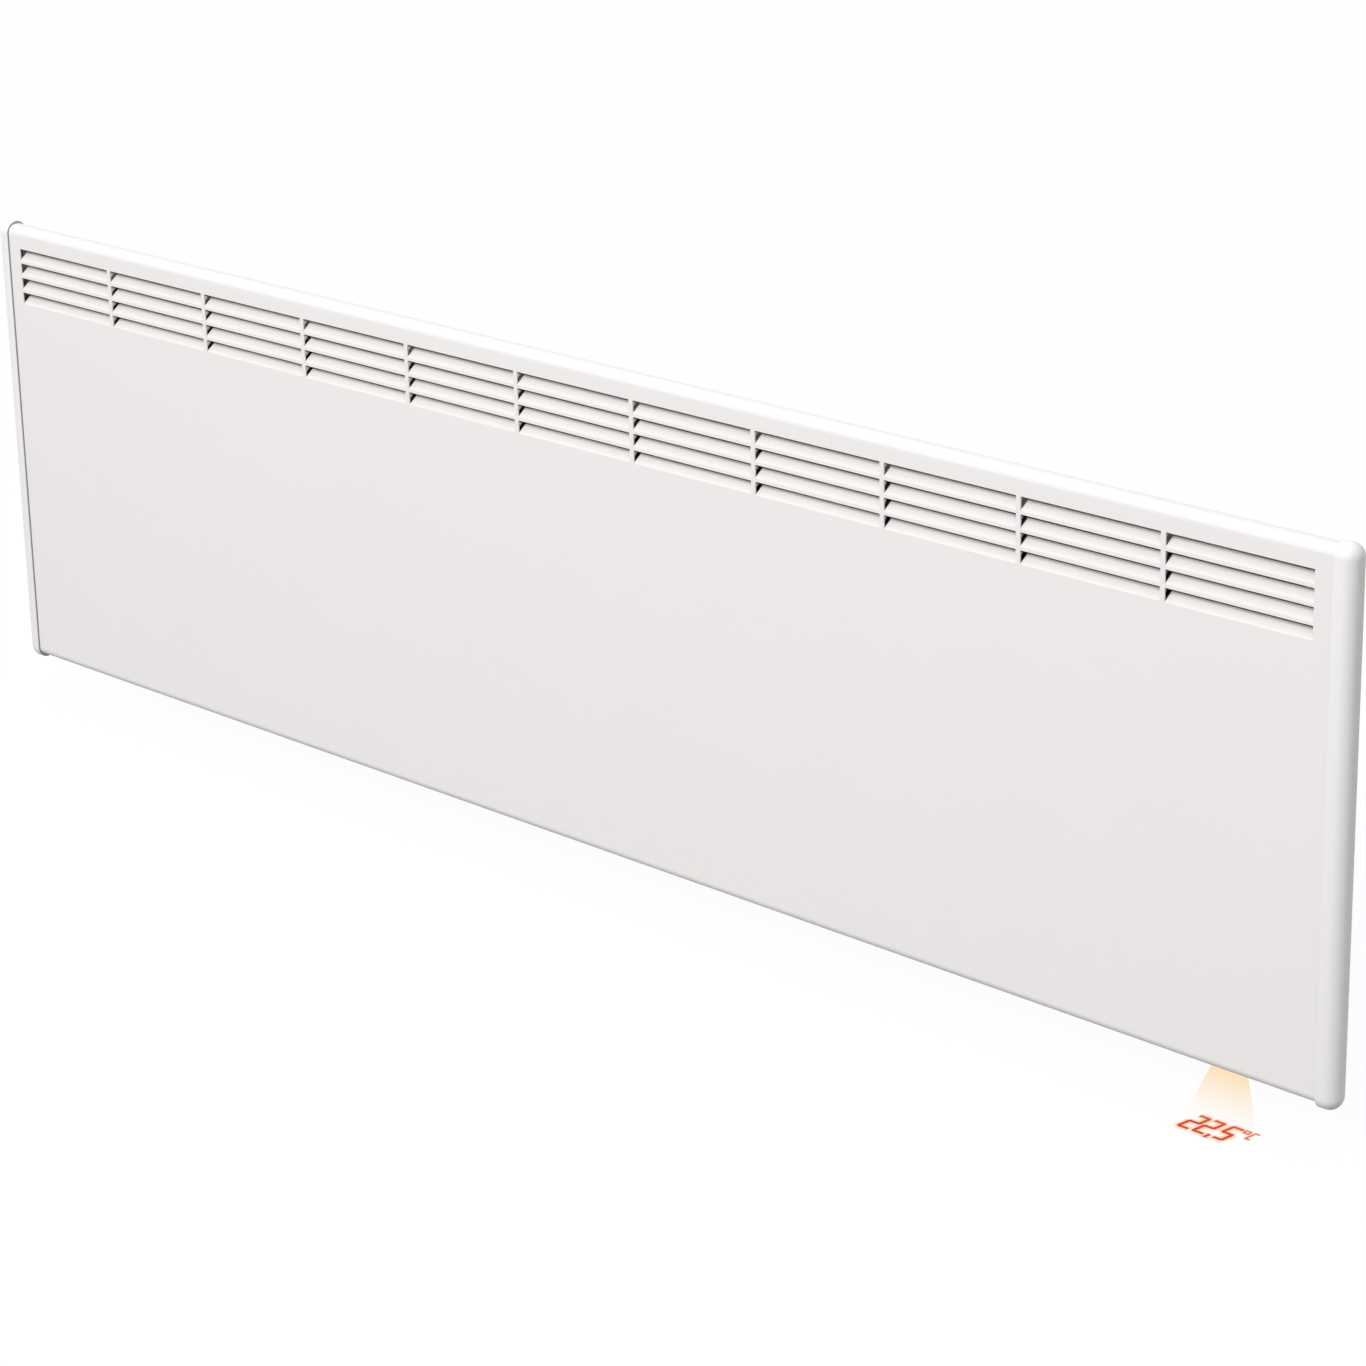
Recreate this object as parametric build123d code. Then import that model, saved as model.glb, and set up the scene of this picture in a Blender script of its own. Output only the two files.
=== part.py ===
from build123d import *
import math
import os

# Wall panel convector heater, in millimetres. The origin is the centre of the wall bracket's screw
# pattern, on the wall. X runs to the right as seen from the room, Y into the wall and Z up, so the
# louvred front panel faces -Y. Ranges are (low, high) pairs along an axis.

# ---- Front panel, a folded sheet with a rounded top
overall_depth = 87.0          # wall to the front of the end caps
panel_height = 367.2
panel_sheet = 1.0
shell_depth = 16.4            # front face to the back of the folded legs
panel_bottom_radius = 5.8
back_leg_height = 22.0
panel_side_margin = 13.5      # outermost louvre to the end cap

# ---- Louvres lanced out of the front sheet
louvre_columns = 11
louvre_rows = 4
louvre_length = 112.4
louvre_height = 9.0
louvre_bar = 3.0              # plain sheet between two rows
mullion_width = 3.85          # plain sheet between two columns
louvre_top_margin = 17.8
slat_angle = 33.0             # each slat rises inwards by this angle
slat_bend_radius = 1.5
slat_end_gap = 0.2

# ---- End caps
cap_width = 14.7
cap_proud = 1.4               # the caps stand out past the panel's front and back
cap_top_proud = 1.7
cap_bottom_proud = 3.3
cap_edge_radius = 9.1
cap_rim_radius = 0.4
cap_wall = 4.7
cap_end_wall = 3.0
cap_spigot_reach = 7.0
cap_spigot_clearance = 0.2
cap_boss_half_height = 5.0
cap_boss_depth = 9.5
cap_screw_inset = 3.4         # screw axis behind the spigot's tip
cap_screw_leg_drop = 11.0     # screw axis from the free edge of the panel's back leg

# ---- Screws, rivets and their holes
screw_shank_radius = 1.45
screw_head_radius = 3.2
screw_head_height = 2.0
screw_length = 6.0
cap_screw_length = 9.0
screw_hole_clearance = 0.25
rivet_shank_radius = 1.6
rivet_head_radius = 3.0
rivet_head_height = 1.0

# ---- Rear casing, a pan screwed to the panel's back legs
wall_gap = 24.0               # wall to the casing's rear face
casing_end_inset = 30.95      # panel end to the casing's side wall
casing_sheet = 0.8
casing_leg_overlap = 1.0      # the pan's mouth starts this far over the legs
casing_flange_height = 18.0   # flanges past the pan, above and below it
casing_top_drop = 26.0        # fall of the sloping top from front to back
casing_corner_radius = 3.0
casing_flange_end_gap = 7.5    # side flanges to the ends of the panel
casing_screw_pitch = 200.0
casing_screw_end_inset = 20.0
bead_height = 1.5
bead_width = 10.0
bead_end_inset = 60.0
bead_levels = (45.0, -45.0)

# ---- Air intake in the casing's floor
intake_rows = 2
intake_length = 30.0
intake_width = 5.0
intake_pitch = 40.0
intake_row_pitch = 14.0
intake_end_inset = 20.0

# ---- Heating element and what carries it
element_end_inset = 44.2      # casing's left side wall to the end of the fins
element_module_gap = 66.2     # end of the fins to the control housing
element_floor_gap = 50.7      # casing's floor to the element's axis
element_offset = 0.9          # axis behind the middle between the baffle and the rear shield
hub_radius = 8.0
fin_half_height = 24.0
fin_half_depth = 14.0
fin_thickness = 1.6
sheath_radius = 4.0
sheath_reach = 33.0           # bare sheath past the fins
terminal_radius = 1.5
terminal_reach = 10.0
bush_radius = 9.0
bush_length = 8.0
hanger_offset = 15.0          # end of the fins to the middle of a hanger
hanger_sheet = 1.2
hanger_base_width = 26.0
hanger_half_height = 30.0
hanger_rivet_level = 20.0     # each side of the element's axis
hanger_rivet_inset = 15.6     # from the arm

# ---- Heat shields
shield_sheet = 0.5
rear_shield_standoff = 9.0    # shield to the casing's rear wall
rear_shield_floor_gap = 14.7
rear_shield_top_gap = 43.0    # to the upper edge of the casing's rear wall
rear_shield_end_gap = 10.0    # shield to the hangers
baffle_panel_gap = 7.8        # panel's sheet to the baffle
baffle_half_height = 40.0
baffle_tab_width = 12.0
baffle_end_overhang = 4.0
baffle_rivet_level = 18.0
baffle_rivet_inset = 7.2

# ---- Overheat cutout on the rear shield
cutout_radius = 8.0
cutout_height = 10.0
cutout_flange_radius = 11.0
cutout_flange_height = 1.0
cutout_rise = 65.0            # cutout's axis above the element's
cutout_fin_inset = 25.0       # cutout's axis to the end of the fins
cutout_blade_width = 3.0
cutout_blade_thickness = 0.8
cutout_blade_reach = 6.0
cutout_blade_offset = 5.0

# ---- Control housing in the casing's right end
housing_side_gap = 6.0
housing_rear_gap = 3.2
housing_front_gap = 2.7       # back of the panel's legs to the housing
housing_height = 57.0
housing_wall = 2.0
cover_thickness = 2.0
bezel_thickness = 2.0
bezel_end_margin = 9.0
bezel_corner_radius = 4.5
bezel_side_inset = 2.0
hole_clearance = 0.1          # fixed round pieces in their holes
button_clearance = 0.4        # sliding buttons in their holes

# ---- Places of the controls, counted from the housing's right end towards the left
sensor_inset = 14.0
lens_sensor_pitch = 18.2
lens_button_pitch = 17.0
button_pitch = 14.0
rocker_button_pitch = 24.0
gland_bezel_gap = 2.5

# ---- Push buttons
button_radius = 4.5
button_stand = 1.5            # button's face below the bezel
button_edge_radius = 0.5
button_travel = 1.0
button_flange_radius = 6.0
button_flange_height = 1.2
button_flange_gap = 0.3
button_stem_radius = 1.8
button_end_gap = 0.3          # left under the tact switch when pressed
mark_length = 4.4
mark_width = 0.9
mark_depth = 0.35
mark_ring_radius = 1.9

# ---- Rocker switch
rocker_flange_length = 22.0
rocker_flange_width = 15.0
rocker_flange_height = 1.5
rocker_corner_radius = 1.5
rocker_body_length = 19.0
rocker_body_width = 13.0
rocker_body_height = 19.0
rocker_pocket_length = 15.0
rocker_pocket_width = 9.5
rocker_pocket_depth = 8.5
rocker_pivot_height = 4.0     # pivot above the flange's face
rocker_pivot_radius = 1.0
rocker_pivot_clearance = 0.05
rocker_pivot_reach = 1.4
rocker_paddle_length = 12.6
rocker_paddle_width = 9.0
rocker_paddle_rise = 1.5      # paddle above the pivot
rocker_paddle_valley = 0.3    # paddle's middle below the flange's face
rocker_paddle_stand = 1.7     # paddle's ends below the flange's face
rocker_rest_angle = 8.0
rocker_blade_spacing = 6.0
rocker_blade_reach = 7.0
rocker_blade_width = 4.8
rocker_blade_thickness = 0.8

# ---- Circuit board and its pieces
board_level = 13.0            # board above the housing's floor
board_thickness = 1.6
board_edge_gap = 1.0
board_rocker_gap = 14.0       # board's end to the rocker's middle
post_radius = 2.5
post_inset = 3.4
board_screw_radius = 1.2
board_screw_head_radius = 2.2
board_screw_head_height = 1.4
board_screw_length = 7.0
tact_side = 6.0
tact_height = 3.5
tact_plunger_radius = 1.5
tact_plunger_height = 0.8
relay_size = (20.0, 12.0, 15.5)
relay_inset = (40.6, 1.0)     # from the board's left end and front edge
relay_edge = 0.5
supply_size = (32.0, 22.0, 18.0)
supply_inset = 8.0            # from the board's left end
supply_corner_radius = 1.0
triac_size = (10.0, 4.5, 15.0)
triac_lift = 4.0
triac_leg_side = 0.6
sink_size = (24.0, 2.0, 30.0)
sink_inset = (54.0, 0.5)      # from the board's left end and rear edge
sink_fin_count = 5
sink_fin_depth = 5.0
sink_fin_thickness = 1.2

# ---- Projected readout
led_side = 3.5
led_height = 1.4
barrel_radius = 6.5
barrel_wall = 1.5
barrel_board_gap = 0.5
barrel_stand = 0.5            # barrel's end below the bezel
mask_thickness = 1.0
mask_board_distance = 9.0
lens_rim = 2.0
lens_dome = 1.0
lens_recess = 0.5

# ---- Room sensor
sensor_radius = 2.4
sensor_tip_radius = 1.2
sensor_flange_radius = 3.8
sensor_flange_height = 1.0
sensor_stand = 6.0            # sensor's tip below the bezel
sensor_inner_reach = 11.0     # sensor above the bezel

# ---- Cable gland
gland_bore_radius = 3.8
gland_body_radius = 7.5
gland_flange_radius = 10.0
gland_flange_height = 3.0
gland_nose_height = 5.0
gland_nose_radius = 7.0
gland_nose_chamfer = 1.2
gland_inner_reach = 9.0
gland_nut_across = 20.0
gland_nut_height = 4.0
gland_nut_wall_gap = 0.8      # nut to the housing's left wall

# ---- Terminal block
terminal_block_size = (28.0, 16.0, 14.0)
terminal_block_gap = 2.8      # housing's left wall to the block
terminal_block_level = 29.7   # block's foot above the housing's floor
terminal_shelf_thickness = 2.0
terminal_hole_radius = 1.8
terminal_hole_depth = 4.0
terminal_pitch = 5.0
terminal_screw_radius = 1.5
terminal_screw_depth = 4.0

# ---- Insulated leads
lead_radius = 1.3
lead_hole_clearance = 0.4
lead_floor_gap = 6.7          # casing's floor to the long lead's axis
lead_wall_gap = 8.2           # casing's rear wall to the same axis
lead_corner_share = 0.45
lead_end_gap = 0.1            # lead's end to a terminal pin
lead_turn_gap = 14.0          # housing to the leads' last turn
clip_count = 5
clip_wall = 1.2
clip_clearance = 0.1
clip_width = 8.0
clip_end_inset = 80.0

# ---- Earth stud
earth_floor_gap = 70.7
earth_module_gap = 16.0       # stud to the control housing
stud_radius = 2.0
stud_length = 12.0
stud_nut_across = 7.0
stud_nut_height = 3.2
ring_radius = 4.0
ring_thickness = 1.0
ring_barrel_radius = 1.9
ring_barrel_length = 6.0

# ---- Wall bracket
screw_spacing_x = 500.0
screw_spacing_z = 150.0
wall_screw_hole_radius = 2.75
bracket_sheet = 1.5
rail_width = 40.0
rail_flange = 8.0
rail_top = 116.0
rail_bottom = -140.0
crossbar_width = 24.0
crossbar_corner_radius = 6.0
crossbar_level = 55.0
crossbar_end_overhang = 16.0
crossbar_notch_gap = 1.0

# ---- Lower hinge
hinge_level = -125.0
hinge_wall_distance = 12.0
hinge_pin_radius = 3.0
hinge_pin_clearance = 0.05
hinge_pin_head_radius = 4.5
hinge_pin_head_height = 1.5
fork_reach = 6.0              # fork past the pin, towards the room
fork_below = 10.0
fork_above = 15.0
fork_corner_radius = 3.0
ear_sheet = 2.0
ear_side_gap = 1.0            # ears to the fork
ear_reach = 6.0               # ear past the pin, towards the wall
ear_above = 12.0
ear_below = 1.0
ear_base_above = 32.0
ear_base_below = 8.0
ear_rivet_height = 24.0       # above the hinge axis

# ---- Upper catch
catch_level = 100.0
catch_blade_thickness = 2.0
catch_blade_width = 22.0
catch_blade_reach = 14.0
catch_blade_chamfer = 0.6
catch_base_sheet = 2.0
catch_base_width = 34.0
catch_base_half_height = 14.0
catch_rivet_spacing = 24.0
catch_rivet_drop = 8.0
clip_strip = 0.8
clip_strip_width = 16.0
jaw_gap = 0.3
jaw_base_gap = 0.5            # jaws to the catch blade's base
jaw_flare = 2.0
jaw_flare_length = 3.0
clip_foot_height = 16.0
clip_rivet_drop = 9.0

# ---- Worked out: the shell
panel_front_y = -overall_depth + cap_proud
shell_back_y = panel_front_y + shell_depth
shell_middle_y = panel_front_y + shell_depth / 2
panel_inner_y = panel_front_y + panel_sheet
panel_top_z = panel_height / 2
panel_bottom_z = -panel_height / 2
louvre_pitch = louvre_length + mullion_width
row_pitch = louvre_height + louvre_bar
louvre_field = louvre_columns * louvre_pitch - mullion_width
panel_half = louvre_field / 2 + panel_side_margin
top_leg_z = panel_top_z - shell_depth / 2 - back_leg_height
bottom_leg_z = panel_bottom_z + panel_bottom_radius + back_leg_height
cap_radius = shell_depth / 2 + cap_proud
cap_height = panel_height + cap_top_proud + cap_bottom_proud
cap_middle_z = (cap_top_proud - cap_bottom_proud) / 2

# ---- Worked out: the casing and its inside
casing_rear_y = -wall_gap
casing_inner_y = casing_rear_y - casing_sheet
casing_half = panel_half - casing_end_inset
casing_inner_x = casing_half - casing_sheet
casing_top_z = top_leg_z + casing_leg_overlap
casing_floor_z = bottom_leg_z - casing_leg_overlap
floor_z = casing_floor_z + casing_sheet
top_flange_z = casing_top_z + casing_flange_height / 2
bottom_flange_z = casing_floor_z - casing_flange_height / 2

# ---- Worked out: the control housing
housing_right = casing_inner_x - housing_side_gap
housing_back = casing_inner_y - housing_rear_gap
housing_front = shell_back_y + housing_front_gap
housing_width = housing_back - housing_front
housing_top = floor_z + housing_height
housing_floor_z = floor_z + housing_wall
controls_y = (housing_back + housing_front) / 2
sensor_x = housing_right - sensor_inset
lens_x = sensor_x - lens_sensor_pitch
mode_x = lens_x - lens_button_pitch
plus_x = mode_x - button_pitch
minus_x = plus_x - button_pitch
button_places = (minus_x, plus_x, mode_x)
rocker_x = minus_x - rocker_button_pitch
bezel_left = rocker_x - rocker_flange_length / 2 - bezel_corner_radius
gland_x = bezel_left - gland_bezel_gap - gland_flange_radius
housing_left = gland_x - gland_nut_across / 2 - gland_nut_wall_gap - housing_wall
bezel_right = sensor_x + bezel_end_margin
bezel_face_z = casing_floor_z - bezel_thickness
board_bottom = housing_floor_z + board_level
board_top = board_bottom + board_thickness
board_left = rocker_x + board_rocker_gap
board_right = housing_right - housing_wall - board_edge_gap
board_front = housing_front + housing_wall + board_edge_gap
board_back = housing_back - housing_wall - board_edge_gap
sink_front_y = board_back - sink_inset[1] - sink_fin_depth - sink_size[1]
post_places = [
    (x, y)
    for x in (board_left + post_inset, board_right - post_inset)
    for y in (board_front + post_inset, board_back - post_inset)
]
block_left = housing_left + housing_wall + terminal_block_gap
block_front = housing_front + housing_wall
block_low = housing_floor_z + terminal_block_level
terminal_z = block_low + terminal_block_size[2] / 2
terminal_y = [
    block_front + terminal_block_size[1] / 2 + step * terminal_pitch for step in (-1, 0, 1)
]
rocker_pivot_z = bezel_face_z - rocker_flange_height + rocker_pivot_height
rocker_face_z = bezel_face_z - rocker_flange_height

# ---- Worked out: the element
shield_y = casing_inner_y - rear_shield_standoff
baffle_y = panel_inner_y + baffle_panel_gap + shield_sheet
element_y = (baffle_y + shield_y) / 2 + element_offset
element_level = floor_z + element_floor_gap
rear_shield_low = floor_z + rear_shield_floor_gap
rear_shield_high = casing_top_z - casing_top_drop - rear_shield_top_gap
fins_left = -casing_inner_x + element_end_inset
fins_right = housing_left - element_module_gap
hanger_places = (fins_left - hanger_offset, fins_right + hanger_offset)
cutout_x = fins_right - cutout_fin_inset
cutout_level = element_level + cutout_rise
lead_run_level = floor_z + lead_floor_gap
lead_run_y = casing_inner_y - lead_wall_gap
earth_level = floor_z + earth_floor_gap

# ---- Worked out: the bracket and the hinge
rail_places = (-screw_spacing_x / 2, screw_spacing_x / 2)
hinge_y = -hinge_wall_distance
ear_half = rail_width / 2 - bracket_sheet - ear_side_gap
bracket_face_y = -bracket_sheet
jaw_mouth_y = casing_rear_y + catch_base_sheet + jaw_base_gap + jaw_flare_length


def block(x_range, y_range, z_range):
    """Box between two limits along each axis."""
    ranges = (x_range, y_range, z_range)
    centre = [(low + high) / 2 for low, high in ranges]
    size = [high - low for low, high in ranges]
    return Pos(*centre) * Box(*size)


def about(middle, length):
    """Range of a length centred on a value."""
    return (middle - length / 2, middle + length / 2)


def rod_x(x_range, y, z, radius):
    """Round bar along X."""
    low, high = x_range
    return Pos((low + high) / 2, y, z) * Rot(0, 90, 0) * Cylinder(radius, high - low)


def rod_y(x, y_range, z, radius):
    """Round bar along Y."""
    low, high = y_range
    return Pos(x, (low + high) / 2, z) * Rot(90, 0, 0) * Cylinder(radius, high - low)


def rod_z(x, y, z_range, radius):
    """Round bar along Z."""
    low, high = z_range
    return Pos(x, y, (low + high) / 2) * Cylinder(radius, high - low)


def steps(low, high, pitch):
    """Places at a pitch, centred between two limits."""
    count = max(int((high - low) // pitch) + 1, 1)
    start = (low + high) / 2 - (count - 1) * pitch / 2
    return [start + index * pitch for index in range(count)]


def rivet(x, z, y_range):
    """Blind rivet along Y that clamps the sheets between two faces."""
    low, high = y_range
    heads = [
        rod_y(x, (low - rivet_head_height, low), z, rivet_head_radius),
        rod_y(x, (high, high + rivet_head_height), z, rivet_head_radius),
    ]
    return rod_y(x, y_range, z, rivet_shank_radius) + heads


def rivet_hole(x, z, y_range):
    """Cutter for a rivet's shank."""
    return rod_y(x, y_range, z, rivet_shank_radius)


def back_screw(x, z, seat_y, length):
    """Screw driven towards the room, with its head on a face behind the heater."""
    head = rod_y(x, (seat_y, seat_y + screw_head_height), z, screw_head_radius)
    return head + rod_y(x, (seat_y - length, seat_y), z, screw_shank_radius)


def shell_section(inset):
    """Outline of the panel's shell across X, drawn inside its outer face by an inset."""
    front = panel_front_y + inset
    back = shell_back_y - inset
    low = panel_bottom_z + inset
    shoulder = panel_top_z - shell_depth / 2
    crown = panel_top_z - inset
    corner = panel_bottom_radius - inset
    with BuildSketch(Plane.YZ) as section:
        with BuildLine():
            Polyline((front, shoulder), (front, low), (back, low), (back, shoulder))
            ThreePointArc((back, shoulder), (shell_middle_y, crown), (front, shoulder))
        make_face()
        fillet(section.vertices().group_by(Axis.Y)[0], corner)
    return section.sketch


def slat_section(foot_z):
    """Section of one slat, bent inwards and up from the lower edge of its opening."""
    angle = math.radians(slat_angle)
    turn = math.pi / 2 - angle
    setback = slat_bend_radius * math.tan(turn / 2)
    inner_radius = slat_bend_radius - panel_sheet
    centre = Vector(panel_front_y + slat_bend_radius, foot_z - setback)
    along = Vector(math.cos(angle), math.sin(angle))
    outward = Vector(-math.sin(angle), math.cos(angle))
    halfway = Vector(-math.cos(turn / 2), math.sin(turn / 2))
    tip = Vector(panel_front_y, foot_z) + along * louvre_height
    outer_start = centre + Vector(-slat_bend_radius, 0)
    outer_end = centre + outward * slat_bend_radius
    inner_start = centre + Vector(-inner_radius, 0)
    inner_end = centre + outward * inner_radius
    with BuildSketch(Plane.YZ) as section:
        with BuildLine():
            ThreePointArc(outer_start, centre + halfway * slat_bend_radius, outer_end)
            Polyline(outer_end, tip, tip - outward * panel_sheet, inner_end)
            ThreePointArc(inner_end, centre + halfway * inner_radius, inner_start)
            Line(inner_start, outer_start)
        make_face()
    return section.sketch, setback


def front_panel():
    """Louvred sheet folded over the top and under the bottom, with two back legs."""
    sheet = extrude(shell_section(0), amount=panel_half, both=True)
    sheet -= extrude(shell_section(panel_sheet), amount=panel_half, both=True)
    mouth_y = (shell_back_y - 2 * panel_sheet, shell_back_y + panel_sheet)
    sheet -= block(about(0, 2 * panel_half), mouth_y, (bottom_leg_z, top_leg_z))
    openings = []
    slats = []
    sheet_y = (panel_front_y - panel_sheet, panel_inner_y)
    for row in range(louvre_rows):
        high = panel_top_z - louvre_top_margin - row * row_pitch
        foot = high - louvre_height
        section, setback = slat_section(foot)
        for column in range(louvre_columns):
            middle = -louvre_field / 2 + louvre_length / 2 + column * louvre_pitch
            openings.append(block(about(middle, louvre_length), sheet_y, (foot - setback, high)))
            slat = extrude(section, amount=louvre_length / 2 - slat_end_gap, both=True)
            slats.append(Pos(middle, 0, 0) * slat)
    sheet -= openings
    sheet += slats
    holes = [
        rod_y(x, mouth_y, z, screw_shank_radius)
        for x in casing_screw_places()
        for z in (top_flange_z, bottom_flange_z)
    ]
    holes += [
        rod_y(x, mouth_y, z, screw_shank_radius + screw_hole_clearance)
        for x, z in cap_screw_places()
    ]
    return sheet - holes


def casing_screw_places():
    """Places along X of the screws that hold the casing to the panel."""
    limit = casing_half - casing_screw_end_inset
    return steps(-limit, limit, casing_screw_pitch)


def cap_screw_places():
    """Places in X and Z of the screws that hold the end caps."""
    reach = panel_half - cap_spigot_reach + cap_screw_inset
    levels = (top_leg_z + cap_screw_leg_drop, bottom_leg_z - cap_screw_leg_drop)
    return [(x, z) for x in (-reach, reach) for z in levels]


def pill(middle_z, height, width, x_range):
    """Bar along X with an upright pill-shaped outline."""
    low, high = x_range
    outline = Pos(shell_middle_y, middle_z) * SlotOverall(height, width, rotation=90)
    return extrude(Plane.YZ.offset(low) * outline, amount=high - low)


def shell_pill(inset, x_range):
    """Pill-shaped bar inside the panel's shell by an inset."""
    return pill(0, panel_height - 2 * inset, shell_depth - 2 * inset, x_range)


def right_end_cap():
    """Hollow end cap with a spigot that plugs into the panel's shell."""
    outer_x = panel_half + cap_width
    body = pill(cap_middle_z, cap_height, 2 * cap_radius, (panel_half, outer_x))
    edge = min(cap_edge_radius, cap_radius - panel_sheet / 2, cap_width - 2 * cap_rim_radius)
    body = fillet(body.edges().group_by(Axis.X)[-1], edge)
    body = fillet(body.edges().group_by(Axis.X)[0], cap_rim_radius)
    spigot_inset = panel_sheet + cap_spigot_clearance
    spigot_x = (panel_half - cap_spigot_reach, panel_half + cap_end_wall)
    body += shell_pill(spigot_inset, spigot_x)
    hollow_x = (panel_half - cap_spigot_reach, outer_x - cap_end_wall)
    body -= shell_pill(cap_wall - cap_proud, hollow_x)
    back = shell_back_y - panel_sheet - cap_spigot_clearance
    for x, z in cap_screw_places():
        if x > 0:
            boss_z = about(z, 2 * cap_boss_half_height)
            boss = block(hollow_x, (back - cap_boss_depth, back), boss_z)
            body += boss & shell_pill(spigot_inset, hollow_x)
            body -= rod_y(x, (back - cap_boss_depth, back + cap_wall), z, screw_shank_radius)
    return body


def rear_casing():
    """Pan with a sloping top, screw flanges, an intake grille and cut-outs for the controls."""
    mouth_y = shell_back_y - casing_corner_radius
    corners = [
        (mouth_y, casing_top_z),
        (shell_back_y, casing_top_z),
        (casing_rear_y, casing_top_z - casing_top_drop),
        (casing_rear_y, casing_floor_z),
        (mouth_y, casing_floor_z),
    ]
    with BuildSketch(Plane.YZ) as outer:
        Polygon(*corners, align=None)
        fillet(outer.vertices().group_by(Axis.X)[-1], casing_corner_radius)
    inner = offset(outer.sketch, -casing_sheet, kind=Kind.INTERSECTION)
    pan = extrude(outer.sketch, amount=casing_half, both=True)
    pan -= extrude(inner, amount=casing_inner_x, both=True)
    front_space = (panel_front_y, shell_back_y)
    pan -= block(about(0, 3 * casing_half), front_space, about(0, 2 * panel_height))
    flange_y = (shell_back_y, shell_back_y + casing_sheet)
    width = about(0, 2 * casing_half)
    pan += block(width, flange_y, (casing_top_z - casing_sheet, casing_top_z + casing_flange_height))
    pan += block(width, flange_y, (casing_floor_z - casing_flange_height, floor_z))
    flange_z = (casing_floor_z - casing_flange_height, casing_top_z + casing_flange_height)
    for side in (-1, 1):
        side_x = sorted((side * casing_inner_x, side * (panel_half - casing_flange_end_gap)))
        pan += block(side_x, flange_y, flange_z)
    bead_half = casing_half - bead_end_inset
    for level in bead_levels:
        ridge_y = (casing_rear_y - casing_sheet / 2, casing_rear_y + bead_height)
        pan += block(about(0, 2 * bead_half), ridge_y, about(level, bead_width))
        groove_y = (casing_inner_y - casing_sheet, casing_rear_y + bead_height - casing_sheet)
        groove_half = bead_half - casing_sheet
        groove_z = about(level, bead_width - 2 * casing_sheet)
        pan -= block(about(0, 2 * groove_half), groove_y, groove_z)
    return pan - casing_holes()


def casing_holes():
    """Cutters for every hole in the rear casing."""
    flange_y = (shell_back_y - casing_sheet, shell_back_y + 2 * casing_sheet)
    rear_y = (casing_inner_y - casing_sheet, casing_rear_y + casing_sheet)
    floor_range = (casing_floor_z - casing_sheet, floor_z + casing_sheet)
    holes = [
        rod_y(x, flange_y, z, screw_shank_radius + screw_hole_clearance)
        for x in casing_screw_places()
        for z in (top_flange_z, bottom_flange_z)
    ]
    intake_low = -casing_inner_x + intake_end_inset + intake_length / 2
    intake_high = housing_left - intake_end_inset - intake_length / 2
    intake_y = (shell_back_y + casing_rear_y) / 2
    for x in steps(intake_low, intake_high, intake_pitch):
        for row in range(intake_rows):
            y = intake_y + (row - (intake_rows - 1) / 2) * intake_row_pitch
            holes.append(block(about(x, intake_length), about(y, intake_width), floor_range))
    holes += [rivet_hole(x, z, rear_y) for x, z in rear_rivet_places()]
    holes += [rivet_hole(x, z, rear_y) for x, z in hanger_rivet_places()]
    holes += control_holes(floor_range)
    holes.append(rod_z(gland_x, controls_y, floor_range, gland_body_radius + hole_clearance))
    return holes


def control_holes(z_range):
    """Cutters for the controls' openings through one floor."""
    holes = [
        rod_z(x, controls_y, z_range, button_radius + button_clearance) for x in button_places
    ]
    holes.append(rod_z(lens_x, controls_y, z_range, barrel_radius + hole_clearance))
    holes.append(rod_z(sensor_x, controls_y, z_range, sensor_radius + hole_clearance))
    length = rocker_body_length + 2 * hole_clearance
    width = rocker_body_width + 2 * hole_clearance
    holes.append(block(about(rocker_x, length), about(controls_y, width), z_range))
    holes += [rod_z(x, y, z_range, board_screw_radius) for x, y in bezel_screw_places()]
    return holes


def bezel_screw_places():
    """Places of the screws that clamp the bezel and the housing to the casing's floor."""
    offset_y = housing_width / 2 - housing_wall - post_radius
    x_places = ((rocker_x + minus_x) / 2 + post_radius, (lens_x + sensor_x) / 2 + post_radius)
    return [(x_places[0], controls_y - offset_y), (x_places[1], controls_y + offset_y)]


def casing_screws():
    """Screws through the casing's flanges into the panel's legs."""
    seat = shell_back_y + casing_sheet
    return [
        back_screw(x, z, seat, screw_length)
        for x in casing_screw_places()
        for z in (top_flange_z, bottom_flange_z)
    ]


def end_cap_screws():
    """Screws through the panel's back legs into the caps' bosses."""
    return [back_screw(x, z, shell_back_y, cap_screw_length) for x, z in cap_screw_places()]


def element_fins():
    """X-shaped aluminium fins on a round hub, bored for the sheath."""
    length_x = (fins_left, fins_right)
    fins = rod_x(length_x, element_y, element_level, hub_radius)
    span = 2 * math.hypot(fin_half_height, fin_half_depth)
    lean = math.degrees(math.atan2(fin_half_depth, fin_half_height))
    middle = (fins_left + fins_right) / 2
    for side in (-1, 1):
        plate = Box(fins_right - fins_left, fin_thickness, span)
        fins += Pos(middle, element_y, element_level) * Rot(side * lean, 0, 0) * plate
    return fins - rod_x(length_x, element_y, element_level, sheath_radius)


def element_sheath():
    """Tubular heater through the fins, with a terminal pin at each end."""
    sheath_x = (fins_left - sheath_reach, fins_right + sheath_reach)
    pin_x = (sheath_x[0] - terminal_reach, sheath_x[1] + terminal_reach)
    sheath = rod_x(sheath_x, element_y, element_level, sheath_radius)
    return sheath + rod_x(pin_x, element_y, element_level, terminal_radius)


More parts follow.
